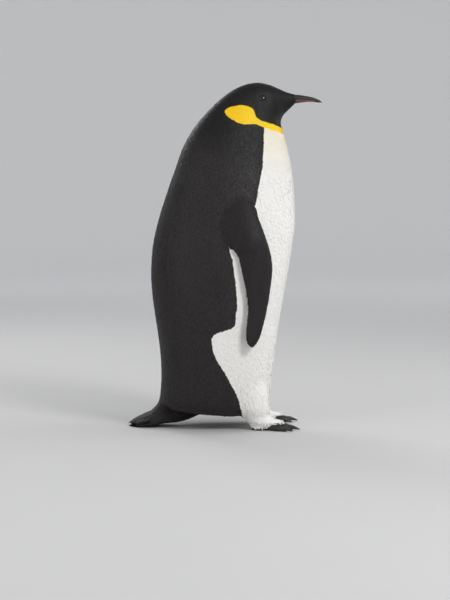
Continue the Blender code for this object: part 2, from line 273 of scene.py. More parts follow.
class Paint(Sheet):
    # one material
    def __init__(self, name, **fixed):
        self.material = bpy.data.materials.new(name)
        self.material.use_nodes = True
        super().__init__(self.material.node_tree)
        self.shader = self.nodes["Principled BSDF"]
        for key, value in fixed.items():
            self.shader.inputs[key.replace("_", " ")].default_value = value

    def value(self, name):
        return self.add("ShaderNodeAttribute", {"attribute_name": name}, output="Fac")

    def place(self, stretch=(1, 1, 1), shift=0.0):
        here = self.add("ShaderNodeTexCoord", output="Object")
        return self.add("ShaderNodeMapping", None, here, (shift, shift, shift), (0, 0, 0), stretch)

    def axis(self, name):
        here = self.add("ShaderNodeTexCoord", output="Object")
        return self.add("ShaderNodeSeparateXYZ", None, here, output=name)

    def mix(self, factor, *colours):
        pair = (c if isinstance(c, Wire) else (*c, 1.0) for c in colours)
        return self.add("ShaderNodeMix", {"data_type": "RGBA"}, factor, *pair)

    def noise(self, scale, detail=3.0, stretch=(1, 1, 1), shift=0.0):
        return self.add("ShaderNodeTexNoise", {"noise_dimensions": "3D"}, Vector=self.place(stretch, shift),
                        Scale=scale, Detail=detail, output="Fac")

    def cells(self, scale):
        return self.add("ShaderNodeTexVoronoi", {"feature": "DISTANCE_TO_EDGE"}, Vector=self.place(),
                        Scale=scale, output="Distance")

    def colour(self, wire):
        self.links.new(wire.socket, self.shader.inputs["Base Color"])

    def rough(self, wire):
        self.links.new(wire.socket, self.shader.inputs["Roughness"])

    def relief(self, wire, strength, distance):
        bump = self.add("ShaderNodeBump", Strength=strength, Distance=distance, Height=wire, output="Normal")
        self.links.new(bump.socket, self.shader.inputs["Normal"])


bodyForm = {
    "fullness": 2.15,
    "widestAt": 0.47,
    "ring": 112,
    "rows": 210,
    "sections": (  # back x, back z, front x, front z, half width
        (0.2240, 1.0632, 0.2240, 1.0330, 0.0135),
        (0.1985, 1.0700, 0.2040, 1.0140, 0.0225),
        (0.1712, 1.0815, 0.1890, 0.9990, 0.0335),
        (0.1416, 1.0935, 0.1810, 0.9830, 0.0440),
        (0.1020, 1.1000, 0.1800, 0.9670, 0.0505),
        (0.0580, 1.0915, 0.1850, 0.9500, 0.0565),
        (0.0124, 1.0675, 0.1910, 0.9290, 0.0640),
        (-0.0373, 1.0263, 0.1980, 0.9029, 0.0765),
        (-0.0870, 0.9710, 0.2052, 0.8714, 0.0940),
        (-0.1282, 0.9040, 0.2130, 0.8322, 0.1150),
        (-0.1588, 0.8226, 0.2196, 0.7776, 0.1380),
        (-0.1856, 0.7461, 0.2240, 0.7126, 0.1560),
        (-0.2114, 0.6629, 0.2235, 0.6428, 0.1695),
        (-0.2285, 0.5854, 0.2150, 0.5739, 0.1790),
        (-0.2350, 0.5060, 0.2040, 0.5040, 0.1845),
        (-0.2325, 0.4380, 0.1925, 0.4380, 0.1860),
        (-0.2250, 0.3750, 0.1812, 0.3750, 0.1855),
        (-0.2155, 0.3110, 0.1715, 0.3110, 0.1815),
        (-0.2075, 0.2470, 0.1630, 0.2470, 0.1750),
        (-0.2035, 0.1840, 0.1555, 0.1840, 0.1660),
        (-0.2050, 0.1300, 0.1490, 0.1260, 0.1550),
        (-0.2090, 0.0880, 0.1420, 0.0760, 0.1400),
        (-0.1960, 0.0600, 0.1290, 0.0420, 0.1150),
        (-0.1500, 0.0560, 0.0900, 0.0340, 0.0700),
    ),
}

flipperForm = {
    "ring": 40,
    "rows": 90,
    "flatness": 0.5,
    "bulge": 0.008,
    # leading x, z, trailing x, z, thickness, stand off from the side, turn in of the trailing edge
    "sections": (
        (0.0670, 0.7915, -0.0335, 0.7533, 0.0290, -0.0380, 0.0000),
        (0.0909, 0.7246, -0.0287, 0.6768, 0.0350, -0.0230, 0.0060),
        (0.1110, 0.6672, -0.0105, 0.6194, 0.0330, -0.0060, 0.0240),
        (0.1301, 0.6146, 0.0190, 0.5850, 0.0290, 0.0050, 0.0200),
        (0.1444, 0.5668, 0.0400, 0.5600, 0.0255, 0.0080, 0.0110),
        (0.1505, 0.5170, 0.0530, 0.5100, 0.0225, 0.0100, 0.0080),
        (0.1460, 0.4654, 0.0640, 0.4560, 0.0195, 0.0125, 0.0070),
        (0.1385, 0.4137, 0.0705, 0.4061, 0.0170, 0.0160, 0.0060),
        (0.1280, 0.3621, 0.0685, 0.3563, 0.0140, 0.0205, 0.0050),
        (0.1155, 0.3152, 0.0660, 0.3104, 0.0115, 0.0255, 0.0040),
        (0.1050, 0.2916, 0.0680, 0.2887, 0.0090, 0.0285, 0.0020),
        (0.0945, 0.2790, 0.0785, 0.2782, 0.0055, 0.0300, 0.0000),
    ),
}

legForm = {
    "ring": 40,
    "rows": 48,
    "ankle": (0.112, 0.0765),
    "turnOut": math.radians(9.0),  # the leg turns with its foot, between 75 and 40 mm above the floor
    "sections": (  # z, x, y, half length, half width
        (0.1500, 0.0700, 0.0660, 0.0600, 0.0560),
        (0.1050, 0.0790, 0.0700, 0.0600, 0.0560),
        (0.0700, 0.0920, 0.0735, 0.0535, 0.0510),
        (0.0520, 0.1000, 0.0750, 0.0465, 0.0455),
        (0.0390, 0.1080, 0.0765, 0.0480, 0.0415),
        (0.0290, 0.1245, 0.0765, 0.0560, 0.0370),
        (0.0200, 0.1230, 0.0765, 0.0470, 0.0350),
        (0.0100, 0.1150, 0.0765, 0.0300, 0.0325),
    ),
}

tailForm = {
    "ring": 32,
    "rows": 40,
    "coreEnds": -0.268,  # the flesh stops here and the stiff feathers go on
    "coreReach": -0.2690,  # where the core's last row lies before it is drawn in to that end
    "coreRows": (7.4, 5.6, 1.8),  # its last row, the row where its end starts to round off, and over how many
    "coreInset": 0.003,
    "keel": 0.35,  # height of the widest line between underside and top
    "sections": (  # x, top z, underside z, half width
        (-0.0400, 0.1000, 0.0510, 0.0330),
        (-0.0750, 0.1100, 0.0355, 0.0420),
        (-0.1080, 0.1230, 0.0215, 0.0500),
        (-0.1430, 0.1290, 0.0120, 0.0560),
        (-0.1820, 0.1130, 0.0070, 0.0610),
        (-0.2110, 0.0840, 0.0025, 0.0620),
        (-0.2350, 0.0545, 0.0000, 0.0600),
        (-0.2590, 0.0395, 0.0000, 0.0550),
        (-0.2820, 0.0275, 0.0000, 0.0470),
        (-0.2990, 0.0175, 0.0000, 0.0365),
        (-0.3100, 0.0090, 0.0000, 0.0220),
    ),
}


def bodyRing(row):
    backX, backZ, frontX, frontZ, halfWidth = row
    back, front = np.array((backX, 0, backZ)), np.array((frontX, 0, frontZ))
    middle = back + (front - back) * bodyForm["widestAt"]
    turn = turns(bodyForm["ring"])
    ahead = bent(np.cos(turn), 2 / bodyForm["fullness"])[:, None]
    side = bent(np.sin(turn), 2 / bodyForm["fullness"])[:, None]
    reach = np.where(ahead > 0, front - middle, back - middle)
    return middle + reach * np.abs(ahead) + np.array((0, halfWidth, 0)) * side


def bodyData():
    return loftData([bodyRing(row) for row in rowsAlong(bodyForm["sections"], bodyForm["rows"])])


billRoot = np.array((0.224, 0, 1.050))  # where the bill leaves the face
spineAt = np.linspace(0, len(bodyForm["sections"]) - 1, 231)
spineRows = rowsAlong(bodyForm["sections"], len(spineAt))
sideRows = rowsAlong(bodyForm["sections"], 240, 9, 21)  # from the shoulder to the belly
headRows = rowsAlong(bodyForm["sections"], 200, 1, 6)


def halfWidthAt(share, halfWidth):
    widest, fullness = bodyForm["widestAt"], bodyForm["fullness"]
    reach = 1 - widest if share > widest else widest
    return halfWidth * (1 - min(abs(share - widest) / reach, 1) ** fullness) ** (1 / fullness)


def widthAtNearest(rows, share, miss):
    best = int(np.argmin(np.abs(miss)))
    return halfWidthAt(share[best], rows[best, 4])


def sideOfBody(x, z):
    # half width of the trunk's side at a place on it
    share = (x - sideRows[:, 0]) / (sideRows[:, 2] - sideRows[:, 0])
    miss = sideRows[:, 1] + (sideRows[:, 3] - sideRows[:, 1]) * share - z
    return widthAtNearest(sideRows, share, miss)


def sideOfHead(x, z):
    share = (headRows[:, 1] - z) / (headRows[:, 1] - headRows[:, 3])
    miss = headRows[:, 0] + (headRows[:, 2] - headRows[:, 0]) * share - x
    return widthAtNearest(headRows, share, miss)


def flipperData(side):
    form = flipperForm
    rings = []
    for leadX, leadZ, trailX, trailZ, thickness, standoff, tuck in rowsAlong(form["sections"], form["rows"]):
        leadSide, trailSide = sideOfBody(leadX, leadZ), sideOfBody(trailX, trailZ)
        ring = []
        for k in range(form["ring"]):
            turn = math.tau * k / form["ring"]
            share = 0.5 - 0.5 * math.cos(turn)
            x, z = leadX + (trailX - leadX) * share, leadZ + (trailZ - leadZ) * share
            swell = math.sin(turn) * (1.25 - 0.7 * share)  # thicker along the leading edge
            curved = sideOfBody(x, z)
            flat = leadSide + (trailSide - leadSide) * share + form["bulge"]
            middle = curved + (flat - curved) * form["flatness"] + standoff + thickness / 2 - tuck * share**3
            ring.append((x, side * (middle + thickness / 2 * swell), z))
        rings.append(np.array(ring))
    return loftData(rings)


def legData(side):
    rings = []
    turn = turns(legForm["ring"])
    ankleX, ankleY = legForm["ankle"]
    for z, x, y, halfLength, halfWidth in rowsAlong(legForm["sections"], legForm["rows"]):
        turned = side * legForm["turnOut"] * min(max((0.075 - z) / 0.035, 0), 1)
        ahead = x - ankleX + halfLength * np.cos(turn)
        out = side * (y - ankleY) + halfWidth * np.sin(turn)
        x = ankleX + ahead * math.cos(turned) - out * math.sin(turned)
        y = side * ankleY + ahead * math.sin(turned) + out * math.cos(turned)
        rings.append(np.stack([x, y, np.full(len(turn), z)], axis=1))
    return loftData(rings)


def tailCoreData():
    rings = []
    turn = turns(tailForm["ring"])
    up, side = bent(np.sin(turn), 0.8), bent(np.cos(turn), 0.8)
    first, last, inset = tailForm["sections"][0][0], tailForm["coreEnds"], tailForm["coreInset"]
    lastRow, roundsFrom, roundsOver = tailForm["coreRows"]
    for at in np.linspace(0, lastRow, tailForm["rows"]):
        x, top, under, halfWidth = smoothRow(tailForm["sections"], at)
        x = first + (x - first) * (last - first) / (tailForm["coreReach"] - first)
        close = math.sqrt(max(1 - max((at - roundsFrom) / roundsOver, 0) ** 2, 0.02))
        under, top = max(under, 0.0) + inset, top - 0.3 * inset
        middle = under + tailForm["keel"] * (top - under)
        reach = np.where(up > 0, top - middle, middle - under) * close
        z = np.maximum(middle + reach * up, 0.004)
        rings.append(np.stack([np.full(len(turn), x), side * halfWidth * close * 0.94, z], axis=1))
    return loftData(rings)


eyeForm = {
    "x": 0.1208, "z": 1.0508, "radius": 0.0165, "bulge": 0.0010,
    "orbit": 0.0022, "orbitReach": 0.0128, "pupil": 4.4, "iris": 7.9,
    # lid ring: distance from the eye's axis and height over the orbit's floor, both in mm
    "lid": ((8.95, 0.35), (8.97, 0.75), (9.25, 1.08), (9.75, 1.20), (10.25, 1.02), (10.55, 0.76),
            (10.85, 0.82), (11.35, 0.94), (11.85, 0.78), (12.15, 0.56), (12.60, 0.52), (13.20, 0.36),
            (14.00, -0.30), (12.8, -1.3), (10.8, -1.7), (9.4, -1.0)),
}


def eyeFrame(side):
    # middle of the ball, the way it looks, ahead and up along the head's side
    x, z, near = eyeForm["x"], eyeForm["z"], 0.006
    slopeX = (sideOfHead(x + near, z) - sideOfHead(x - near, z)) / (2 * near)
    slopeZ = (sideOfHead(x, z + near) - sideOfHead(x, z - near)) / (2 * near)
    look = Vector((-slopeX, side, -slopeZ)).normalized()
    surface = Vector((x, side * sideOfHead(x, z), z))
    ahead = Vector((1, 0, 0))
    ahead = (ahead - look * ahead.dot(look)).normalized()
    up = look.cross(ahead) * (-side)
    return surface, look, ahead, up.normalized()


coatForm = {
    "trunk": 0.0225, "neck": 0.0170, "nape": 0.0125, "crown": 0.0085, "face": 0.0048,
    "flipper": 0.0068, "leg": 0.0175, "tail": 0.0240,
    "depthShare": 0.125,  # how far a vane's tip stands off its root, for its length
}


def featherLength(p, flipper, leg, tail):
    # how long a feather is at each point: shortest on the face, longest on the trunk and tail
    length = np.interp(np.linalg.norm(p - billRoot, axis=1), (0.0, 0.03, 0.09, 0.16, 0.24, 0.34, 0.46),
                       (0.0040, 0.0048, coatForm["face"] * 1.35, coatForm["crown"], coatForm["nape"],
                        coatForm["neck"], coatForm["trunk"]))
    for side in (1, -1):
        surface, _, _, _ = eyeFrame(side)
        near = np.linalg.norm(p - np.array(surface), axis=1)
        length = np.minimum(length, np.interp(near, (0.011, 0.032, 0.060), (0.0048, 0.0070, 0.02)))
    shin = np.interp(p[:, 2], (0.006, 0.016, 0.032, 0.050, 0.080),
                     (0.0080, 0.0140, 0.0195, 0.0200, coatForm["leg"]))
    length = length * (1 - leg) + shin * leg
    length = length * (1 - tail) + coatForm["tail"] * tail
    return length * (1 - flipper) + coatForm["flipper"] * flipper


markForm = {
    # edge of the white front: height, and how far ahead it starts
    "whiteEdge": (
        (0.0000, 0.0680), (0.0289, 0.0600), (0.0545, 0.0530), (0.0930, 0.0430), (0.1187, 0.0330),
        (0.1443, 0.0190), (0.1732, 0.0030), (0.1960, -0.0130), (0.2213, -0.0268), (0.2470, -0.0360),
        (0.2694, -0.0400), (0.2886, -0.0395), (0.2960, -0.0355), (0.3020, -0.0290), (0.3080, -0.0030),
        (0.3160, 0.0270), (0.3260, 0.0335),
        (0.3977, 0.0401), (0.4618, 0.0337), (0.5356, 0.0240), (0.5840, 0.0050),
        (0.6150, 0.0230), (0.6500, 0.0640), (0.7055, 0.0978), (0.7504, 0.1060), (0.8242, 0.1190),
        (0.8979, 0.1230), (0.9700, 0.1250), (1.2000, 0.1250)),
    # the ear patch, its narrow neck and the band over the breast: place along, height, half thickness
    "patch": (
        (0.0060, 1.0034, 0.0045), (0.0150, 1.0012, 0.0140), (0.0300, 0.9982, 0.0220),
        (0.0500, 0.9945, 0.0288), (0.0640, 0.9920, 0.0300), (0.0765, 0.9975, 0.0165),
        (0.0800, 0.9815, 0.0200), (0.0930, 0.9747, 0.0118), (0.1050, 0.9702, 0.0084),
        (0.1140, 0.9650, 0.0080), (0.1270, 0.9605, 0.0094), (0.1500, 0.9545, 0.0100),
        (0.2100, 0.9380, 0.0090)),
    "bandFrom": 8,  # the patch's rows from here on make the band over the breast
    "round": 0.0050,  # how softly the patch's lengths run together
    "fade": 0.024,  # depth over which a mark's value goes from 0 to 1
    "seenLower": 0.085,  # how much lower the marks sit, for each length that the side bulges out
}


def level(depth):
    # a mark's value, which crosses a half just where its edge runs
    return np.clip(0.5 + depth / markForm["fade"], 0, 1)


def raggedAt(p):
    return roughness3(p, 150.0) * 0.0009 + roughness3(p, 32.0, 3.0) * 0.0012


def patchReach(x, z):
    # depth inside the chain of rounded lengths that make the yellow patch
    reach = np.full(len(x), -1.0)
    rows = markForm["patch"]
    for (ax, az, ar), (bx, bz, br) in zip(rows[:-1], rows[1:]):
        run = np.clip(((x - ax) * (bx - ax) + (z - az) * (bz - az)) / ((bx - ax) ** 2 + (bz - az) ** 2), 0, 1)
        here = ar + (br - ar) * run - np.hypot(x - ax - run * (bx - ax), z - az - run * (bz - az))
        k = markForm["round"]
        h = np.clip(0.5 + 0.5 * (here - reach) / k, 0, 1)
        reach = reach * (1 - h) + here * h + k * h * (1 - h)
    return reach - 0.0008


def markings(p, n, flipper, leg, ragged):
    # how far each mark holds at each point
    x, z = p[:, 0], p[:, 2] - markForm["seenLower"] * np.abs(p[:, 1])
    heights, edges = zip(*markForm["whiteEdge"])
    near = np.linspace(-0.008, 0.008, 5)
    edge = sum(np.interp(z + d, heights, edges) for d in near) / len(near)
    slope = (np.interp(z + 0.010, heights, edges) - np.interp(z - 0.010, heights, edges)) / 0.020
    ahead = (x - edge) / np.sqrt(1 + slope**2) + ragged
    bodyOnly = 1 - flipper
    yellow = level(patchReach(x, z) + ragged * 0.5) * bodyOnly
    band = markForm["patch"][markForm["bandFrom"]:]
    below = np.interp(x, [row[0] for row in band], [row[1] for row in band]) - z
    white = level(np.minimum(ahead, below - 0.002)) * bodyOnly
    white = np.maximum(white, leg * level(ahead - 0.001))
    inner = step(0.1, 0.5, -n[:, 1] * np.sign(p[:, 1])) * flipper  # the flipper's hidden side
    white = np.maximum(white, inner * step(0.300, 0.350, p[:, 2]))
    orange = step(0.100, 0.020, x)
    wash = step(0.17, 0.0, below) * bodyOnly
    slate = step(0.955, 0.800, z + 0.25 * x)  # the back is slate, the head black
    slate = np.maximum(slate, flipper * 0.8)
    rim = step(0.030, 0.004, np.abs(ahead)) * step(0.60, 0.70, z) * bodyOnly
    slate = slate * (1 - 0.8 * rim)  # a blacker line edges the white front
    return white, yellow, orange, wash, slate


def turnedTo(flow, other, share):
    return flow * (1 - share[:, None]) + other * share[:, None]


def directions(p, x, y, z):
    # one direction for every point
    return np.stack([np.broadcast_to(part, len(p)) for part in (x, y, z)], axis=1)


def flowOf(p, n, flipper, leg, turning):
    # the lie of the feathers: away from the bill over the head, down the trunk, and along each limb
    away = p - billRoot
    low = step(0.22, 0.05, p[:, 2])
    down = directions(p, np.where(p[:, 0] < 0, -0.10, 0.02), 0.0, -1.0)
    down = down * (1 - low[:, None] * 0.2) + low[:, None] * np.array((-0.35, 0, 0)) * (1 - leg[:, None])
    flow = turnedTo(down, unit(away), step(0.46, 0.16, np.linalg.norm(away, axis=1)))
    flow = turnedTo(flow, down, step(0.05, 0.14, p[:, 0] - 0.08) * step(1.00, 0.90, p[:, 2]))  # throat
    sections = np.array(flipperForm["sections"])[::-1]
    heights, middles = (sections[:, 1] + sections[:, 3]) / 2, (sections[:, 0] + sections[:, 2]) / 2
    slope = (np.interp(p[:, 2] - 0.03, heights, middles) - np.interp(p[:, 2] + 0.03, heights, middles)) / 0.06
    flow = turnedTo(flow, unit(directions(p, slope, 0.0, -1.0)), flipper)
    instep = leg * step(0.058, 0.034, p[:, 2]) * step(0.112, 0.145, p[:, 0])
    flow = turnedTo(flow, directions(p, 0.85, 0.13 * np.sign(p[:, 1]), -0.55), instep)
    under = step(-0.35, -0.80, n[:, 2]) * step(0.10, 0.06, p[:, 2]) * (1 - leg) * (1 - flipper)
    flow = turnedTo(flow, np.array((-1.0, 0, 0)), under)
    flow = turnedTo(flow, unit(directions(p, -1.0, p[:, 1] * 1.5, -0.45)), turning)  # fans out over the tail
    flow = flow - n * np.sum(flow * n, axis=1, keepdims=True)
    for side in (1, -1):  # parts round the eye
        surface, look, _, _ = eyeFrame(side)
        near = p - np.array(surface)
        radial = unit(near - np.outer(near @ np.array(look), np.array(look)))
        towards = np.minimum(np.sum(flow * radial, axis=1), 0) * step(0.026, 0.013, offAxis(p, side))
        flow = flow - radial * (towards * 0.9)[:, None]
    return unit(flow)


skinForm = {
    "voxel": 0.0031, "rounds": 5,
    "blend": 30, "deepBlend": 110,  # rounds of smoothing at the shoulder, and at the leg's fold and the rump
    "lidAround": 72,
    "kept": 0.27,  # share of the faces left under the coat
    "mapScale": 1 / 2.05, "stretch": 3.3,
}


def alongSpine(q, batch=40000):
    # where each point lies among the body's sections, and its share of the way from back to front
    # worked out a batch of points at a time, to spare memory
    rows = spineRows
    dx, dz = rows[:, 2] - rows[:, 0], rows[:, 3] - rows[:, 1]
    reach = np.hypot(dx, dz)
    at, share = np.zeros(len(q)), np.zeros(len(q))
    for start in range(0, len(q), batch):
        part = q[start:start + batch]
        ox, oz = part[:, 0:1] - rows[None, :, 0], part[:, 2:3] - rows[None, :, 1]
        off = np.abs(dx * oz - dz * ox) / reach
        run = (ox * dx + oz * dz) / reach**2
        off = off + reach * (np.maximum(run - 1.15, 0) + np.maximum(-0.15 - run, 0))
        best = np.argmin(off, axis=1)
        at[start:start + batch] = spineAt[best]
        share[start:start + batch] = run[np.arange(len(part)), best]
    return at, share


def unwrapSkin(q, m, flipper, leg):
    # every face goes whole to one island: body, underside, legs, and both sides of each flipper
    scale = skinForm["mapScale"]

    def mean(values):
        # each face's mean, given back at its corners
        return (np.bincount(cornerFace, values[cornerVertex]) / np.bincount(cornerFace))[cornerFace]

    onBlade = mean(flipper) >= 0.5
    onLeg = (mean(leg) >= 0.5) & ~onBlade
    cx, cy, cz = (mean(q[:, k]) for k in range(3))
    fy, fz = mean(m[:, 1]), mean(m[:, 2])
    side = np.where(cy >= 0, 1.0, -1.0)
    x, y, z = (q[cornerVertex, k] for k in range(3))

    at, share = alongSpine(q)
    backX, backZ, frontX, frontZ, halfWidth = spineRows.T
    middle = np.stack([(backX + frontX) / 2, (backZ + frontZ) / 2], axis=1)
    travel = np.concatenate([[0], np.cumsum(np.hypot(*np.diff(middle, axis=0).T))])
    girths = (halfWidth + np.hypot(frontX - backX, frontZ - backZ) / 2) / 2
    girth = skinForm["stretch"] * np.interp(at, spineAt, girths)
    widest = bodyForm["widestAt"]
    ahead = (share - widest) / np.where(share > widest, 1 - widest, widest)
    angle = np.arctan2(q[:, 1] / np.interp(at, spineAt, halfWidth), ahead)
    turn = (angle / math.tau)[cornerVertex]
    turn = turn + np.round(np.arctan2(mean(np.sin(angle)), mean(np.cos(angle))) / math.tau - turn)
    u = 0.325 + turn * girth[cornerVertex] * scale
    v = 0.985 - np.interp(at, spineAt, travel)[cornerVertex] * scale

    base = (cz < 0.10) & ((fz < -0.6) | (cx < -0.21)) & ~onLeg & ~onBlade  # underside and tail
    u = np.where(base, np.where(fz >= 0, 0.32, 0.02) + (x + 0.31) * scale, u)
    v = np.where(base, 0.12 + y * scale, v)
    around = np.arctan2(y - side * 0.075, x - 0.095) / math.tau
    around = around + np.round(np.arctan2(cy - side * 0.075, cx - 0.095) / math.tau - around)
    u = np.where(onLeg, 0.80 + around * 0.34 * scale, u)
    v = np.where(onLeg, 0.075 - 0.055 * side + z * scale * 0.6, v)
    u = np.where(onBlade, 0.69 + 0.14 * (fy * side <= 0) + (x + 0.04) * scale, u)
    v = np.where(onBlade, 0.24 + 0.30 * (side > 0) + (z - 0.25) * scale, v)
    return np.stack([u, v], axis=1)


def lidData(side):
    # a soft double ring round the eye, closed underneath, in the skin's own mesh
    surface, look, ahead, up = eyeFrame(side)
    base = surface - look * eyeForm["orbit"]
    rings = []
    for k in range(skinForm["lidAround"]):
        turn = math.tau * k / skinForm["lidAround"]
        corner = 0.60 * max(math.cos(turn), 0) ** 6 + 0.50 * max(-math.cos(turn), 0) ** 6
        hood = -0.45 * max(math.sin(turn), 0) ** 2
        ring = []
        for i, (r, h) in enumerate(eyeForm["lid"]):
            fade = max(1 - i / 11, 0) if i < 13 else 0
            wrinkle = 0.05 * math.sin(turn * 31 + i * 1.3) if 2 < i < 12 else 0
            wide = (r + (corner + hood) * fade) / 1000
            tall = (h + wrinkle + 0.22 * max(math.sin(turn), 0) * (2 < i < 9)) / 1000
            flat = ahead * math.cos(turn) + up * math.sin(turn)
            ring.append(tuple(base + flat * wide + look * tall))
        rings.append(np.array(ring))
    count, total = len(eyeForm["lid"]), skinForm["lidAround"]
    points = np.concatenate(rings)
    faces = []
    for here, after in ((a * count, (a + 1) % total * count) for a in range(total)):
        for i in range(count):
            above = (i + 1) % count
            faces.append((here + i, here + above, after + above, after + i))
    return points, faces


def offAxis(q, side):
    # distance of each point from the eye's axis, far away on the other side of the head
    surface, look, _, _ = eyeFrame(side)
    near = q - np.array(surface)
    flat = near - np.outer(near @ np.array(look), np.array(look))
    here = (np.sign(q[:, 1]) == side) & (np.linalg.norm(near, axis=1) < 0.03)
    return np.where(here, np.linalg.norm(flat, axis=1), 1.0)


def makeSkin():
    body = bodyData()
    blades = {side: flipperData(side) for side in (1, -1)}
    legs = {side: legData(side) for side in (1, -1)}
    tail = tailCoreData()
    whole = joined([body, *blades.values(), *legs.values(), tail])
    skin = addPiece("skin", outward(meshFrom("skin", *whole)))
    remesh = skin.modifiers.new("one surface", "REMESH")
    remesh.mode = "VOXEL"
    remesh.voxel_size = skinForm["voxel"]
    remesh.adaptivity = 0.0
    mesh = applied(skin)
    p, edges = pointsOf(mesh), edgesOf(mesh)
    p = relax(p, edges, skinForm["rounds"])

    bodyTree, tailTree = bvhOf(body), bvhOf(tail)
    toBody = distances(bodyTree, p)
    toTail = distances(tailTree, p)
    flipper, leg, shoulder, fold = (np.zeros(len(p)) for _ in range(4))
    for side in (1, -1):
        toBlade = distances(bvhOf(blades[side]), p, 0.4)
        flipper = np.maximum(flipper, step(-0.001, 0.006, toBody - toBlade))  # 1 on the blade
        shoulder = np.maximum(shoulder, step(0.018, 0.004, toBlade) * step(0.018, 0.004, toBody))
        toLeg = distances(bvhOf(legs[side]), p, 0.4)
        leg = np.maximum(leg, step(-0.002, 0.008, toBody - toLeg))  # 1 on the leg
        fold = np.maximum(fold, step(0.045, 0.010, toLeg) * step(0.030, 0.006, toBody))
    shoulder = shoulder * step(0.57, 0.62, p[:, 2])
    fold = fold * step(0.30, 0.22, p[:, 2]) * step(0.030, 0.060, p[:, 2]) * step(0.0, 0.03, p[:, 0])
    leg = leg * step(0.16, 0.11, p[:, 2]) * step(-0.02, 0.02, p[:, 0])
    tailShare = step(-0.002, 0.010, toBody - toTail) * step(-0.16, -0.20, p[:, 0])
    rump = step(0.040, 0.010, toTail) * step(0.040, 0.010, toBody) * step(-0.05, -0.10, p[:, 0])
    p = relax(p, edges, skinForm["blend"], back=0.0, weight=shoulder)
    p = relax(p, edges, skinForm["deepBlend"], back=0.0, weight=np.maximum(fold, rump))
    setPoints(mesh, p)
    n = normalsOf(mesh)
    length = featherLength(p, flipper, leg, tailShare)
    p = p - n * (length * coatForm["depthShare"])[:, None]  # room for the coat
    for side in (1, -1):  # a shallow orbit for each eye
        off = offAxis(p, side) / eyeForm["orbitReach"]
        dish = eyeForm["orbit"] * np.clip(1 - off**2, 0, 1)
        p = p - np.outer(dish, np.array(eyeFrame(side)[1]))
    setPoints(mesh, p)
    n = normalsOf(mesh)
    say(f"skin has {len(mesh.polygons)} faces")
    turning = np.maximum(tailShare, step(0.075, 0.010, toTail) * step(0.0, -0.10, p[:, 0]))
    return skin, mesh, p, n, flipper, leg, tailShare, turning, length


skin, mesh, p, n, flipper, leg, tailShare, turning, length = makeSkin()

markNames = ("white", "yellow", "orange", "wash", "slate")
flow = flowOf(p, n, flipper, leg, turning)
cornerVertex = readAll(mesh.loops, "vertex_index", 1, np.int32)
faceSizes = readAll(mesh.polygons, "loop_total", 1, np.int32)
faceStart = np.concatenate([[0], np.cumsum(faceSizes)])
cornerFace = np.repeat(np.arange(len(faceSizes)), faceSizes)
uv = unwrapSkin(p, n, flipper, leg)
skinUv = mesh.uv_layers.new(name="OFBake")
skinUv.data.foreach_set("uv", uv.astype(np.float32).ravel())
for name, values in zip(markNames, markings(p, n, flipper, leg, raggedAt(p))):
    setValues(mesh, name, values)
say("markings and lie of the feathers are set")


plumage = {
    "black": (0.0080, 0.0065, 0.0064),
    "slate": (0.0140, 0.0116, 0.0116), "slateTip": (0.0300, 0.0262, 0.0268),
    "white": (0.8600, 0.8500, 0.8200), "whiteRoot": (0.7400, 0.7300, 0.7000), "whiteWorn": (0.62, 0.60, 0.55),
    "cream": (0.8600, 0.7300, 0.3600),
    "yellow": (0.9300, 0.6500, 0.0080), "orange": (0.9000, 0.5100, 0.0060), "yellowWorn": (0.55, 0.30, 0.02),
    "down": (0.004, 0.004, 0.0045),  # between the vanes
}


def plumagePaint(name, vane):
    paint = Paint(name, Roughness=0.55, Specular_IOR_Level=0.25)
    along = paint.value("along") if vane else None
    tone = paint.value("tone") if vane else paint.noise(260.0, 2.0)
    patchy = paint.noise(9.0, 3.0, shift=4.0)
    dark = paint.mix(paint.value("slate"), plumage["black"], plumage["slate"])
    if vane:
        tip = (along.ramp(0.45, 0.95) * paint.value("slate")) * (tone * 0.75 + patchy * 0.45)
        dark = paint.mix(tip.clamp(), dark, plumage["slateTip"])
    else:
        dark = paint.mix(0.45, dark, plumage["down"])
    pale = paint.mix((along if vane else tone).ramp(0.0, 0.6), plumage["whiteRoot"], plumage["white"])
    pale = paint.mix((paint.value("wash") * (0.28 + patchy * 0.2)).clamp(), pale, plumage["cream"])
    pale = paint.mix((tone - 0.5).math("MULTIPLY", 0.22, clamp=True), pale, plumage["whiteWorn"])
    deep = (paint.value("orange") * (0.45 + patchy * 0.4)).clamp()
    gold = paint.mix(deep, plumage["yellow"], plumage["orange"])
    gold = paint.mix((tone - 0.6).math("MULTIPLY", 0.3, clamp=True), gold, plumage["yellowWorn"])
    colour = paint.mix(paint.value("white").ramp(0.45, 0.55), dark, pale)
    colour = paint.mix(paint.value("yellow").ramp(0.45, 0.55), colour, gold)
    paint.colour(colour)
    paint.rough((0.44 + tone * 0.16 + paint.value("white") * 0.08).clamp())
    if not vane:
        paint.relief(paint.noise(700.0, 4.0), 0.5, 0.0012)
    return paint.material


vaneMaterial = plumagePaint("plumage of fine vanes", True)
skinMaterial = plumagePaint("skin under the plumage", False)


vaneForm = {
    # along the vane, half width, height of the edges, height of the ridge over them
    "sections": ((0.00, 0.18, -0.050, 0.018), (0.34, 0.46, 0.024, 0.030), (0.71, 0.49, 0.076, 0.026),
                 (0.92, 0.30, 0.096, 0.014)),
    "tip": 0.099,
    "shows": (7, 10),  # the two middle points of the part that the next vanes leave free
}


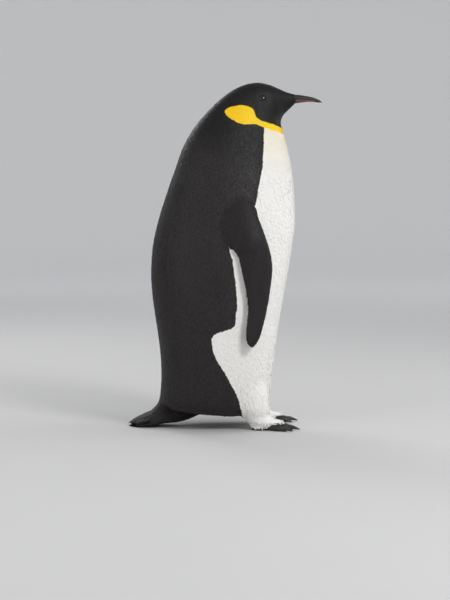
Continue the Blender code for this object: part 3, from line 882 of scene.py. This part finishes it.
def makeVane():
    # one closed feather vane, a thin roof with a flat underside, one unit long
    points, faces = [], []
    for s, half, edge, ridge in vaneForm["sections"]:
        points += [(s, -half, edge), (s, 0, edge + ridge), (s, half, edge)]
    points.append((1.0, 0, vaneForm["tip"]))
    rows = len(vaneForm["sections"])
    for row in range(rows - 1):
        a, b = 3 * row, 3 * row + 3
        faces += [(a, b, b + 1, a + 1), (a + 1, b + 1, b + 2, a + 2), (a + 2, b + 2, b, a)]
    last, tip = 3 * (rows - 1), 3 * rows
    faces += [(last, tip, last + 1), (last + 1, tip, last + 2), (last + 2, tip, last), (0, 1, 2)]
    made = outward(meshFrom("vane", points, faces))
    setValues(made, "along", [q[0] for q in points])
    setValues(made, "vanePlace", [(q[0] - 0.5, q[1], 0) for q in points], "FLOAT_VECTOR")
    made.shade_smooth()
    form = bmesh.new()
    form.from_mesh(made)
    for edge in form.edges:  # the blade's rim is crisp, so that it reads as thin
        edge.smooth = all(side.normal.z > 0.1 for side in edge.link_faces)
    form.to_mesh(made)
    form.free()
    vane = bpy.data.objects.new("vane", made)
    bpy.context.scene.collection.objects.link(vane)
    return vane


class Tree(Sheet):
    # one Geometry Nodes group
    def __init__(self, name):
        self.group = bpy.data.node_groups.new(name, "GeometryNodeTree")
        super().__init__(self.group)
        for way in ("INPUT", "OUTPUT"):
            self.group.interface.new_socket("Geometry", in_out=way, socket_type="NodeSocketGeometry")
        self.start, self.end = self.nodes.new("NodeGroupInput"), self.nodes.new("NodeGroupOutput")

    def input(self, name, kind):
        self.group.interface.new_socket(name, in_out="INPUT", socket_type="NodeSocket" + kind)
        return Wire(self, self.start.outputs[name])


def coatTree():
    tree = Tree("coat of vanes")
    vane = tree.input("Vane", "Object")
    spacing, density = tree.input("Spacing", "Float"), tree.input("Density", "Float")
    width, seed = tree.input("Width", "Float"), tree.input("Seed", "Int")
    stray, material = tree.input("Stray", "Float"), tree.input("Material", "Material")
    mapScale, mapShift = tree.input("Map Scale", "Vector"), tree.input("Map Shift", "Vector")

    def named(name, kind="FLOAT"):
        return tree.add("GeometryNodeInputNamedAttribute", {"data_type": kind}, Name=name, output="Attribute")

    def randomValue(low, high, seed, kind="FLOAT"):
        return tree.add("FunctionNodeRandomValue", {"data_type": kind}, Min=low, Max=high, Seed=seed,
                        output="Value")

    def tilt(reach):
        # most a vane leans, about each of its axes
        return tree.add("ShaderNodeCombineXYZ", None, reach * 0.6, reach * 0.35, reach)

    surface = Wire(tree, tree.start.outputs["Geometry"])
    cloud = tree.add("GeometryNodeDistributePointsOnFaces", {"distribute_method": "POISSON"}, Mesh=surface,
                     Distance_Min=spacing, Density_Max=density, Density_Factor=named("here"), Seed=seed,
                     output="Points")
    cloud = tree.add("GeometryNodeStoreNamedAttribute", {"data_type": "FLOAT", "domain": "POINT"},
                     Geometry=cloud, Name="tone", Value=randomValue(0.0, 1.0, seed))
    up, ahead = named("skinNormal", "FLOAT_VECTOR"), named("flow", "FLOAT_VECTOR")
    turn = tree.add("FunctionNodeAxesToRotation", {"primary_axis": "Z", "secondary_axis": "X"},
                    Primary_Axis=up, Secondary_Axis=ahead)
    lean = randomValue(tilt(stray * -1.0), tilt(stray), seed + 11, "FLOAT_VECTOR")
    lean = tree.add("FunctionNodeEulerToRotation", None, lean)
    turn = tree.add("FunctionNodeRotateRotation", {"rotation_space": "LOCAL"}, turn, lean)
    size = randomValue(0.84, 1.14, seed + 23) * named("vaneLength")
    scale = tree.add("ShaderNodeCombineXYZ", None, size, size * width, size)
    pattern = tree.add("GeometryNodeObjectInfo", {"transform_space": "ORIGINAL"}, vane, output="Geometry")
    coat = tree.add("GeometryNodeInstanceOnPoints", Points=cloud, Instance=pattern,
                    Rotation=turn, Scale=scale)
    coat = tree.add("GeometryNodeRealizeInstances", None, coat)
    # each vane is a patch 3 mm across on the skin's map, at its root's place
    root = named("rootPlace", "FLOAT_VECTOR").vector("MULTIPLY", mapScale).vector("ADD", mapShift)
    patch = named("vanePlace", "FLOAT_VECTOR").vector("MULTIPLY", (0.003, 0.003, 0.0))
    coat = tree.add("GeometryNodeStoreNamedAttribute", {"data_type": "FLOAT2", "domain": "CORNER"},
                    Geometry=coat, Name="OFBake", Value=root.vector("ADD", patch))
    coat = tree.add("GeometryNodeSetMaterial", Geometry=coat, Material=material)
    tree.links.new(coat.socket, tree.end.inputs["Geometry"])
    return tree.group


def setInput(modifier, name, value):
    socket = next(s for s in modifier.node_group.interface.items_tree
                  if s.item_type == "SOCKET" and s.in_out == "INPUT" and s.name == name)
    modifier[socket.identifier] = value


vane = makeVane()
coatGroup = coatTree()
keptValues = {"along", "tone", *markNames, "OFBake", "sharp_edge"}


def paintMarks(made):
    # the marks run on across a vane, and jump a little from each vane to the next
    count = 3 * len(vaneForm["sections"]) + 1
    q = pointsOf(made).reshape(-1, count, 3)
    middle = q[:, vaneForm["shows"]].mean(axis=1)
    spots = middle[:, None] + (q - middle[:, None]) * 0.65
    flat = [np.repeat(valuesOf(made, key)[::count], count) for key in ("flipper", "leg")]
    facing = np.repeat(valuesOf(made, "skinNormal", 3)[::count], count, axis=0)
    marks = markings(spots.reshape(-1, 3), facing, *flat, np.repeat(raggedAt(middle), count))
    for name, values in zip(markNames, marks):
        setValues(made, name, values)


def makeCoat(name, here, spacing, width, stray, slotName, seed):
    # vanes over the part of the skin where here is over zero
    used = np.bincount(cornerFace, here[cornerVertex] > 0.01, len(faceSizes)) > 0
    corners = used[cornerFace]
    index = np.zeros(len(p), bool)
    index[cornerVertex[corners]] = True
    renumber = np.cumsum(index) - 1
    local = meshFrom(name, p[index],
                     [renumber[cornerVertex[faceStart[f]:faceStart[f + 1]]] for f in np.flatnonzero(used)])
    place = uv[corners]
    low, high = place.min(0), place.max(0)
    span = float(max(high - low)) * 1.02
    for key, values in (("here", here), ("flipper", flipper), ("leg", leg), ("vaneLength", length),
                        ("flow", flow), ("skinNormal", n)):
        setValues(local, key, values[index], "FLOAT" if values.ndim == 1 else "FLOAT_VECTOR")
    setValues(local, "rootPlace", np.column_stack([place, np.zeros(len(place))]), "FLOAT_VECTOR", "CORNER")
    piece = addPiece(name, local)
    modifier = piece.modifiers.new("vanes", "NODES")
    modifier.node_group = coatGroup
    for key, value in (("Vane", vane), ("Spacing", spacing), ("Density", 3.2 / spacing**2), ("Width", width),
                       ("Seed", seed), ("Stray", stray), ("Material", vaneMaterial),
                       ("Map Scale", (1 / span, 1 / span, 0.0)),
                       ("Map Shift", (0.005 - low[0] / span, 0.005 - low[1] / span, 0.0))):
        setInput(modifier, key, value)
    made = applied(piece)
    paintMarks(made)
    spare = [a.name for a in made.attributes if not (a.name in keptValues or a.is_internal or a.is_required)]
    for layer in spare:
        made.attributes.remove(made.attributes[layer])
    coverWith(made, vaneMaterial)
    q = pointsOf(made)
    q[:, 2] = np.maximum(q[:, 2], 0.0004)  # nothing dips under the floor
    setPoints(made, q)
    triangles = sum(len(poly.vertices) - 2 for poly in made.polygons)
    say(f"{name}: {triangles} triangles")
    settle(piece, slotName)
    return triangles


def eyeClear():
    # no vane is rooted on the lids, and fewer just ahead of them, where they would lie over the eye
    out = np.ones(len(p))
    for side in (1, -1):
        surface, _, ahead, _ = eyeFrame(side)
        reach = 0.0120 + 0.0012 * step(0.0, 0.010, (p - np.array(surface)) @ np.array(ahead))
        out = np.where(offAxis(p, side) < reach, 0.0, out)
    return out


fromBill = np.linalg.norm(p - billRoot, axis=1)
face = ((fromBill < 0.132) & (flipper < 0.5)).astype(float)
crown = ((fromBill >= 0.132) & (fromBill < 0.235) & (p[:, 2] > 0.86)).astype(float)
collar = ((fromBill >= 0.235) & (p[:, 2] > 0.80)).astype(float) * (1 - crown)
trunk = (1 - np.maximum.reduce([face, crown, collar])) * (flipper < 0.5) * (leg < 0.5) * (tailShare < 0.5)
backSide = p[:, 0] < np.interp(p[:, 2], *zip(*markForm["whiteEdge"]))
upperHalf = p[:, 2] >= 0.45
blade = (flipper >= 0.5) * (p[:, 2] < 0.80)
clear = eyeClear()
behindBill = step(0.2225, 0.2205, p[:, 0])
shank = ((leg >= 0.5) & (flipper < 0.5)).astype(float)
covert = (tailShare >= 0.5) * step(-0.250, -0.240, p[:, 0])

coats = (  # name, where on the skin, spacing, width for its length, how far vanes lean at random, slot
    ("coat_face", face * clear * behindBill, 0.0018, 0.43, 0.10, "plumage_dark"),
    ("coat_head", crown * clear, 0.0029, 0.38, 0.09, "plumage_dark"),
    ("coat_neck", collar, 0.0039, 0.37, 0.09, "plumage_dark"),
    ("coat_back_upper", trunk * backSide * upperHalf, 0.0045, 0.36, 0.08, "plumage_dark"),
    ("coat_back_lower", trunk * backSide * ~upperHalf, 0.0047, 0.36, 0.08, "plumage_dark"),
    ("coat_breast", trunk * ~backSide * upperHalf, 0.0045, 0.36, 0.08, "plumage_white"),
    ("coat_belly", trunk * ~backSide * ~upperHalf, 0.0045, 0.36, 0.08, "plumage_white"),
    ("coat_flipper_left", blade * (p[:, 1] > 0), 0.0030, 0.42, 0.06, "plumage_dark"),
    ("coat_flipper_right", blade * (p[:, 1] < 0), 0.0030, 0.42, 0.06, "plumage_dark"),
    ("coat_legs", shank, 0.0040, 0.34, 0.12, "plumage_white"),
    ("coat_tail", covert, 0.0044, 0.36, 0.08, "plumage_dark"),
)
total = sum(makeCoat(*row, seed) for row, seed in zip(coats, range(3, 25, 2)))
bpy.data.objects.remove(vane)
say(f"coat has {total} triangles in all")


def finishSkin():
    # thinner mesh where the coat hides it, then the lids joined on
    group = skin.vertex_groups.new(name="plain")
    weight = 1 - step(0.30, 0.22, fromBill) * 0.85
    for tenth in range(0, 11):
        chosen = np.flatnonzero(np.round(weight * 10) == tenth)
        group.add([int(i) for i in chosen], tenth / 10, "REPLACE")
    thin = skin.modifiers.new("thin", "DECIMATE")
    thin.ratio = skinForm["kept"]
    thin.vertex_group = group.name
    made = applied(skin)
    skin.vertex_groups.clear()
    lidPoints, lidFaces = joined([lidData(1), lidData(-1)])
    lidMesh = outward(meshFrom("lids", lidPoints, lidFaces))
    for name in markNames:
        setValues(lidMesh, name, np.zeros(len(lidPoints)))
    lidUv = lidMesh.uv_layers.new(name="OFBake")
    spot = lidPoints[readAll(lidMesh.loops, "vertex_index", 1, np.int32)]
    flat = np.stack([0.93 + (spot[:, 0] - eyeForm["x"]) * 1.6,
                     0.93 - 0.06 * (spot[:, 1] < 0) + (spot[:, 2] - eyeForm["z"]) * 1.6], axis=1)
    lidUv.data.foreach_set("uv", flat.astype(np.float32).ravel())
    form = bmesh.new()
    form.from_mesh(made)
    before = len(form.faces)
    form.from_mesh(lidMesh)
    form.faces.ensure_lookup_table()
    for lid in form.faces[before:]:
        lid.material_index = 1
    form.to_mesh(made)
    form.free()
    bpy.data.meshes.remove(lidMesh)
    coverWith(made, skinMaterial, lidPaint.material)
    made.shade_smooth()
    say(f"skin has {sum(len(poly.vertices) - 2 for poly in made.polygons)} triangles with its lids")


lidPaint = Paint("bare lid skin", Roughness=0.42, Specular_IOR_Level=0.5)
lidSpot = lidPaint.noise(900.0, 3.0).ramp(0.35, 0.7)
lidPaint.colour(lidPaint.mix(lidSpot, (0.006, 0.0055, 0.006), (0.018, 0.016, 0.016)))
lidPaint.relief(lidPaint.cells(1500.0), 0.5, 0.0003)
finishSkin()
settle(skin, "plumage_dark", "trunk", "neck", "head",
       "flipper_left", "flipper_right", "leg_left", "leg_right")


def makeEye(side, word):
    surface, look, _, _ = eyeFrame(side)
    middle = surface + look * (eyeForm["bulge"] - eyeForm["radius"])
    form = bmesh.new()
    bmesh.ops.create_uvsphere(form, u_segments=64, v_segments=48, radius=eyeForm["radius"])
    turn = look.to_track_quat("Z", "X").to_matrix().to_4x4()
    bmesh.ops.transform(form, verts=form.verts[:], matrix=Matrix.Translation(middle) @ turn)
    made = bpy.data.meshes.new(f"eyeball_{word}")
    form.to_mesh(made)
    form.free()
    q = pointsOf(made) - np.array(middle)
    off = np.linalg.norm(q - np.outer(q @ np.array(look), np.array(look)), axis=1)
    setValues(made, "fromAxis", np.where(q @ np.array(look) > 0, off, 0.02) * 1000)
    piece = addPiece(f"eyeball_{word}", outward(made), eyeMaterial)
    settle(piece, "eye", f"eye_{word}")


eyePaint = Paint("wet dark eye", Roughness=0.05, Specular_IOR_Level=0.35,
                 Coat_Weight=0.35, Coat_Roughness=0.02)
fromAxis = eyePaint.value("fromAxis")
outsidePupil = fromAxis.ramp(eyeForm["pupil"] - 0.4, eyeForm["pupil"] + 0.3)
outsideIris = fromAxis.ramp(eyeForm["iris"] - 0.5, eyeForm["iris"] + 0.5)
iris = eyePaint.mix(eyePaint.noise(1400.0, 3.0), (0.0060, 0.0030, 0.0018), (0.0180, 0.0085, 0.0045))
iris = eyePaint.mix(outsideIris, iris, (0.006, 0.004, 0.004))
eyePaint.colour(eyePaint.mix(outsidePupil, (0.0015, 0.0014, 0.0014), iris))
eyeMaterial = eyePaint.material
makeEye(1, "left")
makeEye(-1, "right")
say("eyes and lids are in")


billForm = {
    "rows": 70,
    "around": 40,
    "sections": (  # x, ridge z, gape z, keel z, half width
        (0.2000, 1.0600, 1.0470, 1.0320, 0.0125),
        (0.2120, 1.0622, 1.0478, 1.0332, 0.0130),
        (0.2246, 1.0622, 1.0480, 1.0345, 0.0130),
        (0.2390, 1.0612, 1.0480, 1.0362, 0.0118),
        (0.2540, 1.0590, 1.0476, 1.0382, 0.0102),
        (0.2690, 1.0562, 1.0466, 1.0395, 0.0084),
        (0.2830, 1.0528, 1.0448, 1.0390, 0.0067),
        (0.2950, 1.0484, 1.0422, 1.0376, 0.0050),
        (0.3040, 1.0436, 1.0392, 1.0360, 0.0034),
        (0.3100, 1.0384, 1.0360, 1.0348, 0.0014),
    ),
    "upperEnds": 9.0, "lowerEnds": 8.15,  # the last row of each half
    "groove": 0.0009, "grooveEnds": 0.272,
    "lip": 0.0005, "plate": 0.00045,  # how far the cutting edge and the plate stand out
}


def swelling(value, middle, spread):
    # a smooth hump of height 1
    return np.exp(-(((value - middle) / spread) ** 2))


def makeBill(upper):
    # one half of the bill, with the groove and cutting edge above or the swollen plate below
    rings = []
    turn = np.linspace(0, math.pi, billForm["around"])
    fromRidge = np.abs(turn - math.pi / 2)
    under = np.linspace(math.pi, 0, 10)[1:-1]  # closes the flat side at the gape
    for at in np.linspace(0, billForm["upperEnds"] if upper else billForm["lowerEnds"], billForm["rows"]):
        x, ridge, gape, keel, halfWidth = smoothRow(billForm["sections"], at)
        shrink = 1.0 if upper else 0.93
        base = gape + (0.0001 if upper else -0.0004)
        height = (ridge if upper else keel) - base
        if not upper and at > 7.4:  # the lower tip closes under the upper one
            fade = math.sqrt(max(1 - ((at - 7.4) / 0.75) ** 2, 0.0))
            height, shrink = height * (0.12 + 0.88 * fade), shrink * (0.12 + 0.88 * fade)
        across = bent(np.cos(turn), 0.85) * halfWidth * shrink
        tall = height * np.sin(turn) ** 0.9
        if upper:
            fades = step(billForm["grooveEnds"] + 0.012, billForm["grooveEnds"] - 0.02, x)
            across = across - np.sign(across) * (swelling(fromRidge, 0.72, 0.13) * billForm["groove"] * fades)
            lip = swelling(np.minimum(turn, math.pi - turn), 0, 0.16) * billForm["lip"] * step(0.31, 0.29, x)
            across = across + np.sign(across) * lip * 0.6
            tall = tall - lip * 0.7
        else:
            plate = swelling(fromRidge, 0.85, 0.35) * billForm["plate"] * step(0.290, 0.270, x)
            across = across + np.sign(across) * plate
        ring = np.stack([np.full(len(turn), x), across, base + tall], axis=1)
        flatRow = np.stack([np.full(len(under), x), np.cos(under) * np.abs(across[0]) * 0.98,
                            np.full(len(under), base + (0.0007 if upper else -0.0003))], axis=1)
        rings.append(np.concatenate([ring, flatRow]))
    return outward(meshFrom("bill", *loftData(rings)))


hornPaint = Paint("black bill horn", Roughness=0.42, Specular_IOR_Level=0.35)
streaks = hornPaint.noise(60.0, 5.0, stretch=(1, 12, 12))
hornPaint.colour(hornPaint.mix(streaks.ramp(0.35, 0.75), (0.0060, 0.0054, 0.0055), (0.018, 0.016, 0.0155)))
hornPaint.rough(0.36 + streaks * 0.22)
hornPaint.relief(streaks + hornPaint.noise(900.0, 3.0) * 0.3, 0.35, 0.0004)

platePaint = Paint("lilac bill plate", Roughness=0.36, Specular_IOR_Level=0.4)
grain = platePaint.noise(70.0, 5.0, stretch=(1, 10, 10))
px, pz = platePaint.axis("X"), platePaint.axis("Z")
inPlate = px.ramp(0.2250, 0.2300) * (1 - (px + grain * 0.006).ramp(0.284, 0.298)) * pz.ramp(1.0352, 1.0378)
lilac = platePaint.mix((px + grain * 0.01).ramp(0.236, 0.284), (0.120, 0.044, 0.060), (0.190, 0.062, 0.034))
lilac = platePaint.mix(pz.ramp(1.0425, 1.0470), lilac, (0.100, 0.038, 0.052))
lowerHorn = platePaint.mix(grain, (0.008, 0.007, 0.007), (0.024, 0.021, 0.020))
platePaint.colour(platePaint.mix(inPlate, lowerHorn, lilac))
platePaint.rough(0.30 + grain * 0.2)
platePaint.relief(grain, 0.3, 0.0004)

for upper, name, node, paint, slotName in (
        (True, "upper_bill", "bill_upper", hornPaint, "bill_horn"),
        (False, "lower_bill", "bill_lower", platePaint, "bill_plate")):
    made = makeBill(upper)
    made.name = name
    settle(addPiece(name, made, paint.material), slotName, node)
say("bill is in")


footForm = {
    "ankle": (0.112, 0.0765), "toeOut": math.radians(9.0),
    # name, heading from the foot's own, reach and half width
    "toes": (("inner", -21.0, 0.088, 0.0155), ("middle", 1.0, 0.106, 0.0165), ("outer", 23.0, 0.097, 0.0155)),
    "voxel": 0.00125, "scute": 0.0052, "pebble": 0.0034,
    "claw": {"length": 0.023, "radius": 0.0064, "height": 0.0112, "droop": 0.0076, "sunk": 0.012,
             "taper": 0.80, "rows": 26, "around": 20},
}


def toeFrame(side, heading):
    turn = side * (footForm["toeOut"] + math.radians(heading))
    x, y = footForm["ankle"]
    return Matrix.Translation((x, side * y, 0)) @ Matrix.Rotation(turn, 4, "Z")


def makeFoot(side, word):
    form = bmesh.new()
    form.from_mesh(nodes[f"foot_{word}"].data)
    bmesh.ops.remove_doubles(form, verts=form.verts[:], dist=1e-5)
    made = bpy.data.meshes.new(f"webbed_foot_{word}")
    form.to_mesh(made)
    form.free()
    piece = addPiece(f"webbed_foot_{word}", made, footPaint.material)
    remesh = piece.modifiers.new("even skin", "REMESH")
    remesh.mode = "VOXEL"
    remesh.voxel_size = footForm["voxel"]
    made = applied(piece)
    q, edges = pointsOf(made), edgesOf(made)
    q = relax(q, edges, 14)
    setPoints(made, q)
    m = normalsOf(made)
    lift = np.zeros(len(q))
    for _, heading, reach, half in footForm["toes"]:
        back = np.array(toeFrame(side, heading).inverted())
        local = q @ back[:3, :3].T + back[:3, 3]
        onTop = (step(half * 0.95, half * 0.55, np.abs(local[:, 1])) * step(0.022, 0.032, local[:, 0])
                 * step(reach + 0.002, reach - 0.004, local[:, 0]) * step(0.1, 0.5, m[:, 2]))
        ridges = np.abs(np.sin(local[:, 0] / footForm["scute"] * math.pi)) ** 0.55
        lift = np.maximum(lift, onTop * ridges * 0.00075)
    cells = np.array([noise.voronoi(Vector(v) / footForm["pebble"])[0][:2] for v in q])
    pebbles = np.clip(cells[:, 1] - cells[:, 0], 0, 0.5) * 2
    lift = np.where(lift > 0.00005, lift, pebbles * 0.00038)
    sole = step(0.0035, 0.0012, q[:, 2])
    q = q + m * (lift * (1 - sole))[:, None]
    q[:, 2] = np.where(q[:, 2] < 0.0006, 0.0, q[:, 2])
    q[:, 2] = np.maximum(q[:, 2], 0.0)
    setPoints(made, q)
    coverWith(made, footPaint.material)
    made.shade_smooth()
    settle(piece, "foot_skin", f"foot_{word}")


def makeClaw(side, toe):
    claw = footForm["claw"]
    _, heading, reach, _ = toe
    place = toeFrame(side, heading)
    rings = []
    for at in np.linspace(0, 1, claw["rows"]):
        radius = claw["radius"] * (1 - at**1.8 * claw["taper"])
        x = reach - claw["sunk"] + (claw["length"] + claw["sunk"]) * at
        lift = claw["height"] - claw["droop"] * at**1.7
        ring = []
        for k in range(claw["around"]):
            turn = math.tau * k / claw["around"]
            ridge = 1 + 0.05 * math.cos(turn * 2) + 0.015 * math.sin(at * 60)
            narrow = 0.92 if math.sin(turn) > 0 else 1.0
            ring.append(place @ Vector((x, radius * ridge * narrow * math.cos(turn),
                                        lift + radius * 1.1 * math.sin(turn))))
        rings.append(np.array([tuple(v) for v in ring]))
    return loftData(rings)


footPaint = Paint("black foot skin", Roughness=0.5, Specular_IOR_Level=0.45)
pebble = footPaint.cells(420.0)
blotch = footPaint.noise(70.0, 4.0)
footColour = footPaint.mix(blotch.ramp(0.35, 0.7), (0.0085, 0.0080, 0.0085), (0.030, 0.027, 0.027))
footColour = footPaint.mix((1 - pebble.ramp(0.0, 0.12)) * 0.6, footColour, (0.055, 0.050, 0.048))
footPaint.colour(footColour)
footPaint.rough(0.42 + blotch * 0.25)
footPaint.relief(pebble.ramp(0.0, 0.25) + footPaint.noise(1500.0, 3.0) * 0.3, 0.6, 0.0005)

clawPaint = Paint("dark claw horn", Roughness=0.35, Specular_IOR_Level=0.5)
clawStreak = clawPaint.noise(160.0, 4.0, stretch=(1, 6, 6))
clawPaint.colour(clawPaint.mix(clawStreak.ramp(0.3, 0.75), (0.010, 0.009, 0.008), (0.050, 0.042, 0.036)))
clawPaint.rough(0.3 + clawStreak * 0.25)
clawPaint.relief(clawStreak, 0.4, 0.0005)

for side, word in ((1, "left"), (-1, "right")):
    makeFoot(side, word)
    for toe in footForm["toes"]:
        made = outward(meshFrom(f"nail_{word}_{toe[0]}", *makeClaw(side, toe)))
        settle(addPiece(made.name, made, clawPaint.material), "claw_horn", f"claw_{word}_{toe[0]}")
say("feet and claws are in")


quillForm = {
    "layers": ((0.0, 12), (0.28, 11), (0.56, 12), (0.80, 11), (1.0, 10)),  # share of the depth, how many
    "rootX": -0.216, "rows": 26, "halfWidth": 0.0084, "thick": 0.0010, "shaft": 0.0008, "seed": 31,
    # across the feather and its height there, for its half width and its thickness
    "outline": ((-1, 0), (-0.55, 0.35), (-0.12, 0.55), (0, 1.0), (0.12, 0.55), (0.55, 0.35), (1, 0),
                (0.5, -0.45), (0, -0.6), (-0.5, -0.45)),
}
tailRows = rowsAlong(tailForm["sections"], 220)[::-1]


def quillRings(across, share, order, rng):
    # one stiff feather from inside the rump to the tail's edge
    # across runs from -1 to 1, and share from the top to the underside
    form = quillForm
    endX = tailForm["sections"][-1][0] + 0.022 * abs(across) ** 1.7 + 0.006 * math.sin(share * math.pi)
    endX = endX + rng.uniform(0, 0.003)
    rings = []
    for t in np.linspace(0, 1, form["rows"]):
        x = form["rootX"] + (endX - form["rootX"]) * t
        top, under, halfWidth = (np.interp(x, tailRows[:, 0], tailRows[:, k]) for k in (1, 2, 3))
        middle = under + tailForm["keel"] * (top - under)
        dome = (1 - abs(across * 0.94) ** 2.4) ** (1 / 2.4)
        high, low = middle + (top - middle) * dome - 0.0014, middle - (middle - under) * dome + 0.0006
        sunk = max(1 - t / 0.50, 0) ** 1.6  # the root lies inside the flesh
        z = high + (low - high) * share
        z = z + (middle - z) * 0.34 * sunk + 0.0006 * (order % 2) * (1 - 2 * share)
        y = across * (halfWidth - 0.0040) * 0.96 * (1 - 0.22 * sunk)
        rounded = math.sqrt(max(1 - max((t - 0.86) / 0.144, 0) ** 2, 0.002))
        half = form["halfWidth"] * (0.75 + 0.25 * min(t * 3, 1)) * rounded
        thick, shaft = form["thick"] * (1 - 0.55 * t), form["shaft"] * (1 - 0.75 * t)
        tilt = -across * 0.75 * (1 - 2 * share) + 0.12 * (order % 2)
        ring = []
        for u, rise in form["outline"]:
            lift = rise * thick + (shaft if u == 0 and rise > 0 else 0)
            ring.append((x, y + u * half * math.cos(tilt), max(z + lift + u * half * math.sin(tilt), 0.0001)))
        rings.append(np.array(ring))
    return rings


def makeTail():
    rng = np.random.default_rng(quillForm["seed"])
    parts = []
    for share, count in quillForm["layers"]:
        for k in range(count):
            across = (2 * k / (count - 1) - 1) * (1.0 - 0.05 * share)
            parts.append(loftData(quillRings(across, share, k, rng)))
    made = outward(meshFrom("tail_quills", *joined(parts)))
    quillPaint = Paint("stiff tail feather", Roughness=0.5, Specular_IOR_Level=0.28)
    barbs = quillPaint.noise(420.0, 3.0, stretch=(0.25, 2, 1))
    wear = quillPaint.noise(45.0, 4.0)
    worn = (1 - quillPaint.axis("X").ramp(-0.312, -0.280)) * wear.ramp(0.45, 0.7)
    base = quillPaint.mix(barbs.ramp(0.35, 0.7), (0.0085, 0.0082, 0.0090), (0.024, 0.024, 0.027))
    quillPaint.colour(quillPaint.mix((worn * 0.6).clamp(), base, (0.060, 0.050, 0.042)))
    quillPaint.rough(0.50 + barbs * 0.22)
    quillPaint.relief(barbs, 0.5, 0.0006)
    settle(addPiece("tail_quills", made, quillPaint.material), "plumage_dark", "tail")


makeTail()
say("tail is in")


studio = {
    # far out the floor and the wall take a paler paint: partly the backdrop's own colour, partly painted
    # light that evens out the lamps' fall-off there
    "floor": (0.58, 0.575, 0.568), "wall": (0.86, 0.855, 0.85),
    "world": (0.94, 0.96, 1.0), "worldLight": 0.62,
    "flatTo": 7.6, "curve": 3.0, "rise": 3.2, "around": 96,
    "distance": 6.2, "elevation": 4.9, "aimX": 0.0016, "aimZ": 0.407, "frameHeight": 1.925,
}


def makeStage():
    # a flat floor that curves up into a low wall all round
    profile = [(0.5, 0.0), (studio["flatTo"], 0.0)]
    profile += [(studio["flatTo"] + studio["curve"] * math.sin(a), studio["curve"] * (1 - math.cos(a)))
                for a in np.linspace(0, math.pi / 2, 17)[1:]]
    profile.append((studio["flatTo"] + studio["curve"], studio["curve"] + studio["rise"]))
    count = studio["around"]
    points = [(0.0, 0.0, 0.0)]
    for radius, z in profile:
        points += [(radius * math.cos(math.tau * k / count), radius * math.sin(math.tau * k / count), z)
                   for k in range(count)]
    faces = [(0, 1 + k, 1 + (k + 1) % count) for k in range(count)]
    for row in range(len(profile) - 1):
        low = 1 + row * count
        faces += [(low + k, low + count + k, low + count + (k + 1) % count, low + (k + 1) % count)
                  for k in range(count)]
    floorPaint = Paint("pale studio floor", Roughness=0.8)
    fleck = floorPaint.noise(3.0, 3.0)
    shade = floorPaint.mix(fleck * 0.35, studio["floor"], tuple(c * 0.93 for c in studio["floor"]))
    x, y = floorPaint.axis("X"), floorPaint.axis("Y")
    # further out the floor is painted paler, running into the wall colour: painted light that lifts the shade
    # where the lamps fall off
    floorPaint.colour(floorPaint.mix((x * x + y * y).ramp(3.0, 34.0), shade, studio["wall"]))
    made = meshFrom("studio_floor", points, faces)
    addPiece("studio_floor", made, floorPaint.material)
    world = bpy.data.worlds.new("studio")
    bpy.context.scene.world = world
    world.use_nodes = True
    world.node_tree.nodes["Background"].inputs["Color"].default_value = (*studio["world"], 1)
    world.node_tree.nodes["Background"].inputs["Strength"].default_value = studio["worldLight"]


def addLight(name, place, target, power, size):
    data = bpy.data.lights.new(name, "AREA")
    data.energy, data.size = power, size
    light = bpy.data.objects.new(name, data)
    bpy.context.scene.collection.objects.link(light)
    light.location = place
    light.rotation_euler = (Vector(target) - Vector(place)).to_track_quat("-Z", "Y").to_euler()


def makeCamera():
    angle = math.radians(studio["elevation"])
    data = bpy.data.cameras.new("camera")
    camera = bpy.data.objects.new("camera", data)
    bpy.context.scene.collection.objects.link(camera)
    target = Vector((studio["aimX"], 0, studio["aimZ"]))
    camera.location = target + Vector((0, -math.cos(angle), math.sin(angle))) * studio["distance"]
    camera.rotation_euler = (target - camera.location).to_track_quat("-Z", "Y").to_euler()
    data.sensor_fit = "AUTO"
    data.sensor_width = 36.0
    data.lens = 36.0 * studio["distance"] / studio["frameHeight"]
    bpy.context.scene.camera = camera
    bpy.context.scene.view_settings.view_transform = "Standard"


makeStage()
addLight("key", (2.2, -2.8, 3.0), (0, 0, 0.6), 80, 1.15)
addLight("fill", (-2.8, -2.4, 1.8), (0, 0, 0.5), 24, 2.2)
addLight("rim", (-1.6, 2.6, 2.6), (0, 0, 0.7), 34, 1.4)
addLight("front", (3.0, 0.8, 1.4), (0, 0, 0.6), 21, 1.6)
makeCamera()
say("stage, lights and camera are set")
